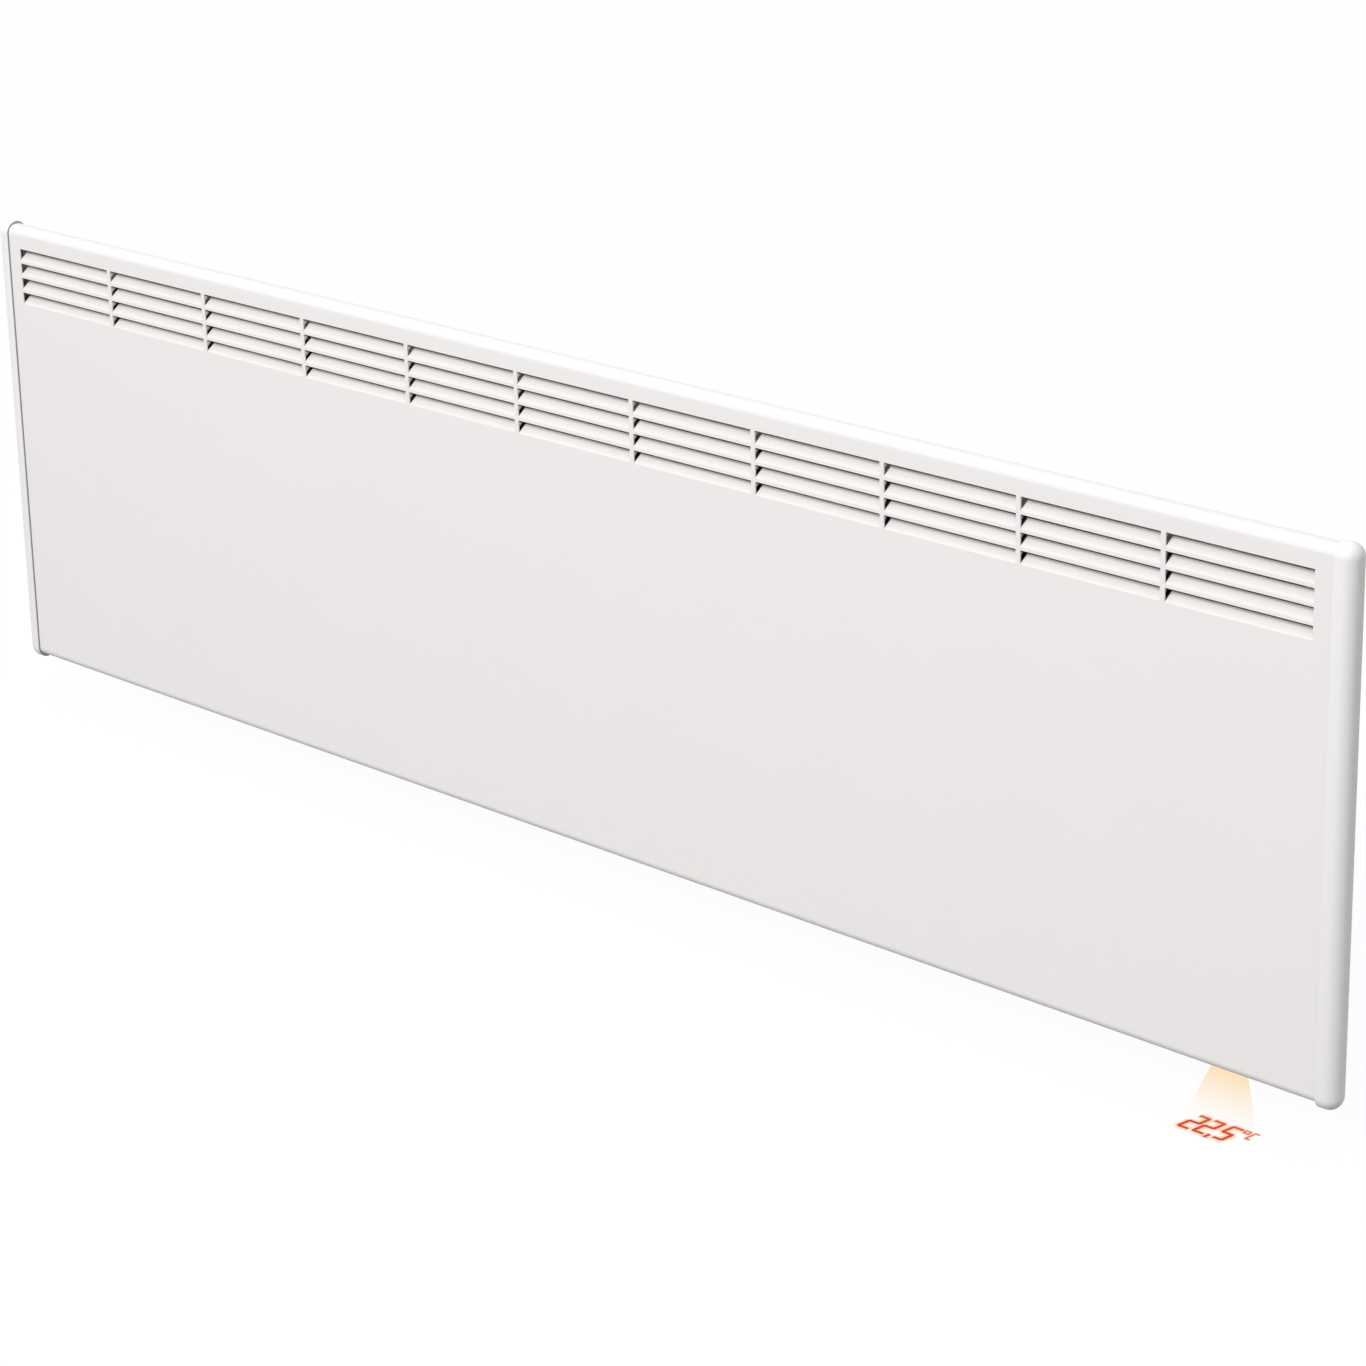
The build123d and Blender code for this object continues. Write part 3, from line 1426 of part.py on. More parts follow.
def clip_rivets():
    """Rivets that hold the spring clips to the rails, flush with the wall side."""
    rivets = []
    for x in rail_places:
        face = bracket_face_y - clip_strip
        z = clip_rivet_level()
        shank = rod_y(x, (face, 0), z, rivet_shank_radius)
        rivets.append(shank + rod_y(x, (face - rivet_head_height, face), z, rivet_head_radius))
    return rivets


def save(name, shapes):
    """Write one node's solids to its STEP file."""
    group = shapes if isinstance(shapes, list) else [shapes]
    solids = [solid for shape in group for solid in shape.solids()]
    model = solids[0] if len(solids) == 1 else Compound(children=solids)
    export_step(model, os.path.join("parts", name + ".step"))


os.makedirs("parts", exist_ok=True)
right_cap = right_end_cap()
save("front_panel", front_panel())
save("right_end_cap", right_cap)
save("left_end_cap", mirror(right_cap, about=Plane.YZ))
for make in (
    end_cap_screws,
    rear_casing,
    casing_screws,
    element_fins,
    element_sheath,
    element_bushes,
    element_hangers,
    hanger_rivets,
    front_baffle,
    baffle_rivets,
    rear_heat_shield,
    thermal_cutout,
    control_housing,
    housing_cover,
    control_bezel,
    bezel_screws,
    control_board,
    board_screws,
    tact_switches,
    supply_module,
    power_relay,
    heat_sink,
    triac,
    terminal_block,
    readout_led,
    readout_barrel,
    readout_mask,
    readout_lens,
    room_sensor,
    cable_gland,
    gland_nut,
    rocker_frame,
    rocker_paddle,
    minus_button,
    plus_button,
    mode_button,
    cutout_lead,
    right_element_lead,
    left_element_lead,
    earth_lead,
    lead_clips,
    earth_stud,
    earth_fixings,
    hinge_ears,
    catch_blades,
    rear_rivets,
    bracket_rails,
    bracket_crossbars,
    crossbar_rivets,
    hinge_pins,
    spring_clips,
    clip_rivets,
):
    save(make.__name__, make())
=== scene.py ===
import math

import bmesh
import bpy
from bpy.props import FloatProperty, FloatVectorProperty, IntProperty, PointerProperty
from mathutils import Matrix, Vector


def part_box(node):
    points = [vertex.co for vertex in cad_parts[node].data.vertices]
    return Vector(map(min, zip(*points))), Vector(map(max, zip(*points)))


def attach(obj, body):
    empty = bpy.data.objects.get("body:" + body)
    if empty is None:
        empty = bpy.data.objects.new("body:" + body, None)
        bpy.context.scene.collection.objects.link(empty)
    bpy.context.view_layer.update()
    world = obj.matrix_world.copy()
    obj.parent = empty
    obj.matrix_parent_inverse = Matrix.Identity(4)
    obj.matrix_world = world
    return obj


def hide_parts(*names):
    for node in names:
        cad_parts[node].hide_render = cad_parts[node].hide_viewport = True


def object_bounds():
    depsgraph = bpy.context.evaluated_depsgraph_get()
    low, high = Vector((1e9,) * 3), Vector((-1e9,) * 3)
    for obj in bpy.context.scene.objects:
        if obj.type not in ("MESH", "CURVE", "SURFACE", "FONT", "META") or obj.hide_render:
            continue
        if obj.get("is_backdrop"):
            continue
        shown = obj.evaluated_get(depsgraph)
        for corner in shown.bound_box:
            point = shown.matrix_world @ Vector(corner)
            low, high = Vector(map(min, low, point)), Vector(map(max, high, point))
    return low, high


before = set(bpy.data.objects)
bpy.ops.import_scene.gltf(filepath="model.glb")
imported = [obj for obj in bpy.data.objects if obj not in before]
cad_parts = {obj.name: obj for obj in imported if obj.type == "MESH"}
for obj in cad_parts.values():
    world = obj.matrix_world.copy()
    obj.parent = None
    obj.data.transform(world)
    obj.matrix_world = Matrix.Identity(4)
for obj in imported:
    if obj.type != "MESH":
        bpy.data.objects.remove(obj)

bl_info = {
    "name": "Wall Panel Convector Heater",
    "version": (1, 0, 0),
    "blender": (4, 5, 0),
    "location": "3D View > Sidebar > Heater",
    "description": "Dresses the packed model of a wall panel convector heater",
    "category": "Object",
}

MM = 0.001
MERGE_DISTANCE = 0.001 * MM
LENGTH = {"unit": "LENGTH", "precision": 5}
COLOUR = {"subtype": "COLOR", "min": 0, "max": 1}

# The record's material slots and the names of their finishes
FINISHES = {
    "powder_coat": "White Powder Coat",
    "cap_plastic": "White Cap Moulding",
    "zinc_sheet": "Galvanised Sheet",
    "bracket_zinc": "Bracket Zinc",
    "spring_steel": "Blued Spring Strip",
    "fastener_steel": "Plated Fastener",
    "rivet_aluminium": "Rivet Aluminium",
    "element_aluminium": "Extruded Fins",
    "reflector_aluminium": "Rolled Reflector",
    "sheath_steel": "Annealed Sheath",
    "bush_ceramic": "Steatite",
    "cutout_phenolic": "Phenolic",
    "housing_plastic": "Housing Moulding",
    "bezel_plastic": "Bezel Moulding",
    "switch_black": "Switch Black",
    "button_plastic": "Button Grey",
    "board_laminate": "Solder Mask",
    "module_black": "Potting Black",
    "relay_blue": "Relay Blue",
    "sink_aluminium": "Black Anodised",
    "terminal_nylon": "Natural Nylon",
    "led_amber": "Amber Light Source",
    "barrel_black": "Barrel Black",
    "mask_glass": "Mask Glass",
    "lens_glass": "Lens Glass",
    "gland_nylon": "Gland Nylon",
    "lead_red": "Red Insulation",
    "lead_blue": "Blue Insulation",
    "lead_brown": "Brown Insulation",
    "lead_green": "Earth Insulation",
    "stud_brass": "Brass",
}


# ---- Settings that a user would change

class PanelSizes(bpy.types.PropertyGroup):
    sheet: FloatProperty(
        name="Sheet", description="Thickness of the folded sheet", default=1.0 * MM,
        min=0.5 * MM, max=2.0 * MM, **LENGTH)
    height: FloatProperty(
        name="Height", description="Height of the folded sheet", default=367.2 * MM, **LENGTH)
    crown_radius: FloatProperty(
        name="Crown Radius", description="Radius of the two upper bends", default=6.9 * MM, **LENGTH)
    crown_sink: FloatProperty(
        name="Crown Sink", description="How far the crown lies below its full height",
        default=0.45 * MM, **LENGTH)
    bottom_radius: FloatProperty(
        name="Bottom Radius", description="Radius of the two lower folds", default=6.4 * MM, **LENGTH)
    back_leg: FloatProperty(
        name="Back Leg", description="Straight part of each back leg", default=22.0 * MM, **LENGTH)
    edge_radius: FloatProperty(
        name="Edge Radius", description="Rounding that the coat gives the cut edges",
        default=0.09 * MM, **LENGTH)


class LouvreSizes(bpy.types.PropertyGroup):
    columns: IntProperty(name="Columns", description="Louvres along a row", default=11, min=1)
    rows: IntProperty(name="Rows", description="Rows of louvres", default=4, min=1)
    length: FloatProperty(
        name="Length", description="Length of one opening", default=112.4 * MM, **LENGTH)
    height: FloatProperty(
        name="Height", description="Height of one opening", default=9.0 * MM, **LENGTH)
    bar: FloatProperty(
        name="Bar", description="Plain sheet between two rows", default=3.0 * MM, **LENGTH)
    mullion: FloatProperty(
        name="Mullion", description="Plain sheet between two columns", default=3.85 * MM, **LENGTH)
    top_margin: FloatProperty(
        name="Top Margin", description="Top of the panel to the first opening",
        default=17.8 * MM, **LENGTH)
    angle: FloatProperty(
        name="Slat Angle", description="Rise of each slat inwards", default=math.radians(37),
        subtype="ANGLE")
    bend_radius: FloatProperty(
        name="Bend Radius", description="Outer radius at a slat's foot", default=1.2 * MM, **LENGTH)
    end_gap: FloatProperty(
        name="End Gap", description="Sheared gap at each end of a slat", default=0.2 * MM, **LENGTH)


class CapSizes(bpy.types.PropertyGroup):
    proud: FloatProperty(
        name="Proud", description="Front and back of a cap past the panel", default=1.4 * MM,
        **LENGTH)
    top_proud: FloatProperty(
        name="Top Proud", description="Top of a cap above the panel", default=1.7 * MM, **LENGTH)
    bottom_proud: FloatProperty(
        name="Bottom Proud", description="Foot of a cap below the panel", default=3.3 * MM, **LENGTH)
    edge_radius: FloatProperty(
        name="Edge Radius", description="Rounding of a cap's outer edge", default=9.1 * MM, **LENGTH)
    rim_radius: FloatProperty(
        name="Rim Radius", description="Rounding where a cap meets the panel", default=0.3 * MM,
        **LENGTH)
    groove: FloatProperty(
        name="Groove", description="Shadow gap between a cap's rim and the panel's end",
        default=0.5 * MM, **LENGTH)
    hollow_inset: FloatProperty(
        name="Hollow Inset", description="Panel's outline to the hollow inside", default=3.3 * MM,
        **LENGTH)
    spigot_inset: FloatProperty(
        name="Spigot Inset", description="Panel's outline to the spigot in it", default=1.2 * MM,
        **LENGTH)
    spigot_reach: FloatProperty(
        name="Spigot Reach", description="Length of the spigot", default=9.5 * MM, **LENGTH)
    end_wall: FloatProperty(
        name="End Wall", description="Thickness of a cap's end", default=3.0 * MM, **LENGTH)


class FinishColours(bpy.types.PropertyGroup):
    coat: FloatVectorProperty(
        name="Powder Coat", description="Colour of the coated front panel",
        default=(0.84, 0.82, 0.808), **COLOUR)
    cap: FloatVectorProperty(
        name="Caps", description="Colour of the moulded end caps",
        default=(0.862, 0.845, 0.832), **COLOUR)
    zinc: FloatVectorProperty(
        name="Zinc", description="Colour of the galvanised casing",
        default=(0.56, 0.57, 0.58), **COLOUR)
    readout: FloatVectorProperty(
        name="Readout", description="Colour of the projected digits",
        default=(0.64, 0.055, 0.02), **COLOUR)


class StageSettings(bpy.types.PropertyGroup):
    floor_drop: FloatProperty(
        name="Floor Drop", description="Lowest point of the heater to the floor",
        default=33.4 * MM, **LENGTH)
    key: FloatProperty(
        name="Key Light", description="Power of the large soft light in watts", default=148.0)
    ambient: FloatProperty(
        name="Ambient", description="Strength of the even light from all sides", default=0.76)
    shadow: FloatProperty(
        name="Shadow", description="Share of the floor's shadow that shows", default=0.06,
        subtype="FACTOR", min=0, max=1)


# ---- Meshes

def publish(obj, body, node):
    """Put a finished piece on its body's empty and hide the CAD node that it stands for."""
    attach(obj, body)
    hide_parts(node)
    return obj


def finish_of(slot):
    """Material of one of the record's slots."""
    return bpy.data.materials[FINISHES[slot]]


def object_from(name, bm, material):
    """Object in the scene with a bmesh as its mesh."""
    mesh = bpy.data.meshes.new(name)
    bm.to_mesh(mesh)
    bm.free()
    mesh.materials.append(material)
    obj = bpy.data.objects.new(name, mesh)
    bpy.context.scene.collection.objects.link(obj)
    return obj


def baked(obj):
    """Give an object the mesh that its modifiers make, and remove them."""
    bpy.context.view_layer.update()
    depsgraph = bpy.context.evaluated_depsgraph_get()
    shown = obj.evaluated_get(depsgraph)
    mesh = bpy.data.meshes.new_from_object(shown, preserve_all_data_layers=True,
                                           depsgraph=depsgraph)
    obj.modifiers.clear()
    obj.data = mesh
    mesh.name = obj.name
    return obj


def round_edges(obj, width, angle=40.0, segments=2):
    """Bevel the sharp edges and keep the large faces flat."""
    obj.data.shade_smooth()
    bevel = obj.modifiers.new("Rounded Edges", "BEVEL")
    bevel.width = width
    bevel.segments = segments
    bevel.limit_method = "ANGLE"
    bevel.angle_limit = math.radians(angle)
    bevel.use_clamp_overlap = True
    weighted = obj.modifiers.new("Flat Faces", "WEIGHTED_NORMAL")
    weighted.keep_sharp = True


def smooth_up_to(obj, angle):
    """Shade smooth across the edges that turn by less than an angle in degrees."""
    obj.data.shade_smooth()
    obj.data.set_sharp_from_angle(angle=math.radians(angle))


def arc(centre, radius, start, end, steps):
    """Points on a circle between two angles in degrees, both ends included."""
    points = []
    for step in range(steps + 1):
        angle = math.radians(start + (end - start) * step / steps)
        points.append((centre[0] + radius * math.cos(angle), centre[1] + radius * math.sin(angle)))
    return points


def quarter(steps):
    """Sine and cosine from 0 to 90 degrees."""
    angles = [math.pi / 2 * step / steps for step in range(steps + 1)]
    return [(math.sin(angle), math.cos(angle)) for angle in angles]


def bridge(bm, rings):
    """Join rings of vertices into a tube; a ring of one vertex makes a tip."""
    for low, high in zip(rings, rings[1:]):
        steps = max(len(low), len(high))
        for index in range(steps):
            after = (index + 1) % steps
            corners = [low[index % len(low)], low[after % len(low)],
                       high[after % len(high)], high[index % len(high)]]
            bm.faces.new(list(dict.fromkeys(corners)))


TURNED_STEPS = 24


def lathe(name, profile, slot):
    """Solid turned about Z from (radius, height) points that start and end on the axis."""
    bm = bmesh.new()
    rings = []
    for radius, height in profile:
        around = arc((0, 0), radius, 0, 360, TURNED_STEPS)[:-1] if radius else [(0, 0)]
        rings.append([bm.verts.new((x, y, height)) for x, y in around])
    bridge(bm, rings)
    bmesh.ops.recalc_face_normals(bm, faces=bm.faces)
    return object_from(name, bm, finish_of(slot))


def add_block(bm, low, high):
    """Add a box between two corners."""
    centre = (Vector(low) + Vector(high)) / 2
    size = Vector(high) - Vector(low)
    for vert in bmesh.ops.create_cube(bm, size=1.0)["verts"]:
        vert.co = Vector(c + v * s for c, v, s in zip(centre, vert.co, size))


def mark_painted_shade(obj, hidden):
    """Mark the faces inside the shell, which get a darker colour as painted shade."""
    inside = obj.data.attributes.new("inside", "FLOAT", "FACE")
    for polygon, value in zip(obj.data.polygons, inside.data):
        value.value = float(hidden(polygon))


def cut_with(obj, cutter, operation="DIFFERENCE"):
    """Cut an object with another, or join the two into one solid."""
    change = obj.modifiers.new("Cut", "BOOLEAN")
    change.operation = operation
    change.solver = "EXACT"
    change.use_self = True
    change.object = cutter
    baked(obj)
    bpy.data.objects.remove(cutter)


def node_bmesh(node):
    """bmesh of a CAD node's triangles, joined where they meet."""
    bm = bmesh.new()
    bm.from_mesh(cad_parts[node].data)
    bmesh.ops.remove_doubles(bm, verts=bm.verts, dist=MERGE_DISTANCE)
    return bm


def islands(node):
    """Lowest and highest corners of each separate solid of a CAD node."""
    bm = node_bmesh(node)
    seen = set()
    boxes = []
    for start in bm.verts:
        if start in seen:
            continue
        seen.add(start)
        found = []
        waiting = [start]
        while waiting:
            vert = waiting.pop()
            found.append(vert.co.copy())
            for edge in vert.link_edges:
                other = edge.other_vert(vert)
                if other not in seen:
                    seen.add(other)
                    waiting.append(other)
        boxes.append(tuple(Vector(pick(v[axis] for v in found) for axis in range(3))
                           for pick in (min, max)))
    bm.free()
    return boxes


FLAT_WITHIN = math.radians(0.6)


def dressed(node, suffix, body, slot, width, angle=40.0, segments=2):
    """Copy of a CAD node with its edges rounded by a width in mm, which stands for the node."""
    bm = node_bmesh(node)
    bmesh.ops.dissolve_degenerate(bm, edges=bm.edges, dist=MERGE_DISTANCE / 10)
    bmesh.ops.dissolve_limit(bm, angle_limit=FLAT_WITHIN, verts=bm.verts, edges=bm.edges)
    obj = object_from(f"{node}_{suffix}", bm, finish_of(slot))
    for layer in [a for a in obj.data.attributes if a.name == "custom_normal"]:
        obj.data.attributes.remove(layer)
    round_edges(obj, width * MM, angle, segments)
    return publish(baked(obj), body, node)


# ---- Node trees

MATH = {"+": "ADD", "-": "SUBTRACT", "*": "MULTIPLY", "/": "DIVIDE", "min": "MINIMUM",
        "max": "MAXIMUM"}


def connect(node, inputs):
    """Set a node's inputs, or link them where the value is a socket or a list of sockets."""
    for key, value in inputs.items():
        for each in value if isinstance(value, list) else [value]:
            if isinstance(each, bpy.types.NodeSocket):
                node.id_data.links.new(each, node.inputs[key])
            else:
                node.inputs[key].default_value = each


def add_node(tree, kind, inputs=None, **settings):
    """Add a node, set its properties and its inputs, and return its outputs."""
    node = tree.nodes.new(kind)
    for key, value in settings.items():
        setattr(node, key, value)
    connect(node, inputs or {})
    return node.outputs


def new_tree(name, kind, inputs, outputs):
    """Node group with named sockets, the outputs of its input node and its output node."""
    tree = bpy.data.node_groups.new(name, kind)
    for label, socket in outputs:
        tree.interface.new_socket(label, in_out="OUTPUT", socket_type="NodeSocket" + socket)
    for label, socket, value in inputs:
        made = tree.interface.new_socket(label, in_out="INPUT", socket_type="NodeSocket" + socket)
        if value is not None:
            made.default_value = value
    return tree, tree.nodes.new("NodeGroupInput").outputs, tree.nodes.new("NodeGroupOutput")


def calc(tree, first, *steps, clamp=False):
    """Math nodes in a row, from left to right, as in calc(tree, a, "-", 0.5, "*", 2.0)."""
    value = first
    for sign, second in zip(steps[::2], steps[1::2]):
        value = add_node(tree, "ShaderNodeMath", {0: value, 1: second}, operation=MATH[sign])[0]
    value.node.use_clamp = clamp
    return value


def use_tree(obj, tree, values):
    """Add a Geometry Nodes modifier and set its inputs by their identifiers."""
    change = obj.modifiers.new(tree.name, "NODES")
    change.node_group = tree
    for item in tree.interface.items_tree:
        if item.item_type == "SOCKET" and item.in_out == "INPUT" and item.name in values:
            change[item.identifier] = values[item.name]


BEND_STEPS = 4
FOOT_WELD = 0.01 * MM


def slat_tree():
    """Tree that adds rows of bent slats to the sheet and joins them to it at their feet."""
    tree, given, result = new_tree("Louvre Slats", "GeometryNodeTree", [
        ("Sheet", "Geometry", None),
        ("Columns", "Int", 11),
        ("Rows", "Int", 4),
        ("Column Pitch", "Float", 0.1),
        ("Row Pitch", "Float", 0.01),
        ("Slat Length", "Float", 0.1),
        ("Slat Reach", "Float", 0.008),
        ("Bend Radius", "Float", 0.0015),
        ("Bend Turn", "Float", 1.0),
        ("Middle", "Vector", None),
        ("Finish", "Material", None),
    ], [("Sheet", "Geometry")])
    place = add_node(tree, "GeometryNodeInputPosition")[0]
    flat = add_node(tree, "ShaderNodeSeparateXYZ", {0: place})

    # A strip one unit wide for each step of the bend, and one more for the slat's straight part
    strip = add_node(tree, "GeometryNodeMeshGrid", {
        "Size X": given["Slat Length"], "Size Y": BEND_STEPS + 1.0,
        "Vertices X": 2, "Vertices Y": BEND_STEPS + 2})
    along = calc(tree, flat["Y"], "+", (BEND_STEPS + 1) / 2)
    turn = calc(tree, along, "/", BEND_STEPS, "min", 1.0, "*", given["Bend Turn"])
    reach = calc(tree, along, "-", BEND_STEPS, "max", 0.0, "*", given["Slat Reach"])
    sine = add_node(tree, "ShaderNodeMath", {0: turn}, operation="SINE")[0]
    cosine = add_node(tree, "ShaderNodeMath", {0: turn}, operation="COSINE")[0]
    radius = given["Bend Radius"]
    inward = calc(tree, radius, "-", calc(tree, radius, "*", cosine),
                  "+", calc(tree, reach, "*", sine))
    rise = calc(tree, radius, "*", sine, "+", calc(tree, reach, "*", cosine))
    bent = add_node(tree, "ShaderNodeCombineXYZ", {"X": flat["X"], "Y": inward, "Z": rise})
    slat = add_node(tree, "GeometryNodeSetPosition", {
        "Geometry": strip["Mesh"], "Position": bent[0]})

    # The slats' feet, on a grid that is stood upright at the middle of the louvres
    places = add_node(tree, "GeometryNodeMeshGrid", {
        "Size X": calc(tree, given["Columns"], "-", 1.0, "*", given["Column Pitch"]),
        "Size Y": calc(tree, given["Rows"], "-", 1.0, "*", given["Row Pitch"]),
        "Vertices X": given["Columns"], "Vertices Y": given["Rows"]})
    upright = add_node(tree, "ShaderNodeCombineXYZ", {"X": flat["X"], "Z": flat["Y"]})
    placed = add_node(tree, "ShaderNodeVectorMath", {0: upright[0], 1: given["Middle"]})
    spots = add_node(tree, "GeometryNodeSetPosition", {
        "Geometry": places["Mesh"], "Position": placed[0]})
    copies = add_node(tree, "GeometryNodeInstanceOnPoints", {
        "Points": spots[0], "Instance": slat[0]})
    whole = add_node(tree, "GeometryNodeRealizeInstances", {"Geometry": copies[0]})
    both = add_node(tree, "GeometryNodeJoinGeometry", {"Geometry": [whole[0], given["Sheet"]]})
    welded = add_node(tree, "GeometryNodeMergeByDistance", {
        "Geometry": both[0], "Distance": FOOT_WELD})
    coated = add_node(tree, "GeometryNodeSetMaterial", {
        "Geometry": welded[0], "Material": given["Finish"]})
    connect(result, {"Sheet": coated[0]})
    return tree


def fixing_tree():
    """Tree that sets one fixing on every point, each turned by its own amount."""
    name = "Row Of Fixings"
    if name in bpy.data.node_groups:
        return bpy.data.node_groups[name]
    tree, given, result = new_tree(name, "GeometryNodeTree", [
        ("Places", "Geometry", None),
        ("Fixing", "Object", None),
        ("Facing", "Rotation", None),
        ("Turn Spread", "Float", math.pi),
        ("Seed", "Int", 3),
        ("Finish", "Material", None),
    ], [("Fixings", "Geometry")])
    source = add_node(tree, "GeometryNodeObjectInfo", {"Object": given["Fixing"], "As Instance": True})
    # Input 3 and output 1 of the Random Value node are its highest float and its float value.
    spin = add_node(tree, "FunctionNodeRandomValue", {
        3: given["Turn Spread"], "Seed": given["Seed"]}, data_type="FLOAT")
    about_axis = add_node(tree, "ShaderNodeCombineXYZ", {"Z": spin[1]})
    turn = add_node(tree, "FunctionNodeEulerToRotation", {0: about_axis[0]})
    facing = add_node(tree, "FunctionNodeRotateRotation", {
        "Rotation": given["Facing"], "Rotate By": turn[0]}, rotation_space="LOCAL")
    copies = add_node(tree, "GeometryNodeInstanceOnPoints", {
        "Points": given["Places"], "Instance": source["Geometry"], "Rotation": facing[0]})
    whole = add_node(tree, "GeometryNodeRealizeInstances", {"Geometry": copies[0]})
    plain = add_node(tree, "GeometryNodeSetMaterial", {
        "Geometry": whole[0], "Material": given["Finish"]})
    connect(result, {"Fixings": plain[0]})
    return tree


# ---- Effects that several finishes share

def object_place(tree):
    """Place on the object itself."""
    return add_node(tree, "ShaderNodeTexCoord")["Object"]


def noise(tree, place, scale, detail, roughness=0.5):
    """Outputs of a noise texture: its value, then its colour."""
    return add_node(tree, "ShaderNodeTexNoise", {
        "Vector": place, "Scale": scale, "Detail": detail, "Roughness": roughness})


def ramp(tree, value, start, end, low=0.0, **settings):
    """Value that runs from low to 1 as another runs from start to end."""
    return add_node(tree, "ShaderNodeMapRange", {
        "Value": value, "From Min": start, "From Max": end, "To Min": low}, **settings)[0]


def blend(tree, share, first, second):
    """Colour between two others; 6, 7 and 2 are the Mix node's colour sockets."""
    return add_node(tree, "ShaderNodeMix", {0: share, 6: first, 7: second}, data_type="RGBA")[2]


def tone_drift():
    """Slow change of a colour's tone over the surface."""
    tree, given, result = new_tree("Tone Drift", "ShaderNodeTree", [
        ("Color", "Color", None), ("Amount", "Float", 0.02), ("Scale", "Float", 20.0),
    ], [("Color", "Color")])
    clouds = noise(tree, object_place(tree), given["Scale"], 4.0, 0.6)
    value = calc(tree, clouds[0], "-", 0.5, "*", 2.0, "*", given["Amount"], "+", 1.0)
    shifted = add_node(tree, "ShaderNodeHueSaturation", {"Value": value, "Color": given["Color"]})
    connect(result, {"Color": shifted[0]})


def fine_grain():
    """Fine texture with its height and the roughness that goes with it."""
    tree, given, result = new_tree("Fine Grain", "ShaderNodeTree", [
        ("Scale", "Float", 1000.0), ("Fine Share", "Float", 0.3),
        ("Roughness", "Float", 0.5), ("Spread", "Float", 0.1),
    ], [("Height", "Float"), ("Roughness", "Float")])
    place = object_place(tree)
    broad = noise(tree, place, given["Scale"], 2.0)
    fine = noise(tree, place, calc(tree, given["Scale"], "*", 5.0), 1.0)
    patches = noise(tree, place, calc(tree, given["Scale"], "*", 0.02), 3.0)
    connect(result, {
        "Height": calc(tree, fine[0], "*", given["Fine Share"], "+", broad[0]),
        "Roughness": calc(tree, patches[0], "-", 0.5, "*", 2.0, "*", given["Spread"],
                          "+", given["Roughness"], clamp=True)})


def settled_dust():
    """Dust on what faces up, thicker in patches."""
    tree, given, result = new_tree("Settled Dust", "ShaderNodeTree", [
        ("Color", "Color", None), ("Dust", "Color", (0.42, 0.4, 0.37, 1.0)),
        ("Amount", "Float", 0.1),
    ], [("Color", "Color"), ("Mask", "Float")])
    coords = add_node(tree, "ShaderNodeTexCoord")
    up = add_node(tree, "ShaderNodeSeparateXYZ", {0: coords["Normal"]})["Z"]
    facing = ramp(tree, up, 0.35, 1.0, interpolation_type="SMOOTHSTEP")
    patches = noise(tree, coords["Object"], 60.0, 6.0, 0.7)
    spread = ramp(tree, patches[0], 0.35, 0.75, low=0.4)
    mask = calc(tree, facing, "*", spread, "*", given["Amount"], clamp=True)
    connect(result, {"Color": blend(tree, mask, given["Color"], given["Dust"]), "Mask": mask})


def edge_wear():
    """Mask of rubbed edges, broken up by noise."""
    tree, given, result = new_tree("Edge Wear", "ShaderNodeTree", [
        ("Radius", "Float", 0.4 * MM), ("Amount", "Float", 0.5), ("Scale", "Float", 300.0),
    ], [("Mask", "Float")])
    rounded = add_node(tree, "ShaderNodeBevel", {"Radius": given["Radius"]}, samples=4)
    true = add_node(tree, "ShaderNodeNewGeometry")["Normal"]
    match = add_node(tree, "ShaderNodeVectorMath", {0: rounded[0], 1: true},
                     operation="DOT_PRODUCT")
    edge = ramp(tree, match["Value"], 0.97, 0.85)
    broken = ramp(tree, noise(tree, object_place(tree), given["Scale"], 3.0)[0], 0.35, 0.65)
    connect(result, {"Mask": calc(tree, edge, "*", broken, "*", given["Amount"], clamp=True)})


def zinc_spangle():
    """Crystals of a galvanised surface, each with its own shade and gloss."""
    tree, given, result = new_tree("Zinc Spangle", "ShaderNodeTree", [
        ("Color", "Color", None), ("Scale", "Float", 150.0), ("Contrast", "Float", 0.2),
        ("Roughness", "Float", 0.4),
    ], [("Color", "Color"), ("Roughness", "Float"), ("Height", "Float")])
    place = object_place(tree)
    bent = noise(tree, place, 200.0, 1.0)
    shift = add_node(tree, "ShaderNodeVectorMath", {0: bent["Color"], 1: (0.002,) * 3},
                     operation="MULTIPLY")
    moved = add_node(tree, "ShaderNodeVectorMath", {0: place, 1: shift[0]})
    cells = add_node(tree, "ShaderNodeTexVoronoi", {
        "Vector": moved[0], "Scale": given["Scale"], "Randomness": 1.0})
    shade = add_node(tree, "ShaderNodeSeparateColor", {0: cells["Color"]})
    swing = calc(tree, shade[0], "-", 0.5, "*", given["Contrast"])
    shifted = add_node(tree, "ShaderNodeHueSaturation", {
        "Value": calc(tree, swing, "+", 1.0), "Color": given["Color"]})
    connect(result, {
        "Color": shifted[0], "Height": cells["Distance"],
        "Roughness": calc(tree, swing, "*", 0.6, "+", given["Roughness"], clamp=True)})


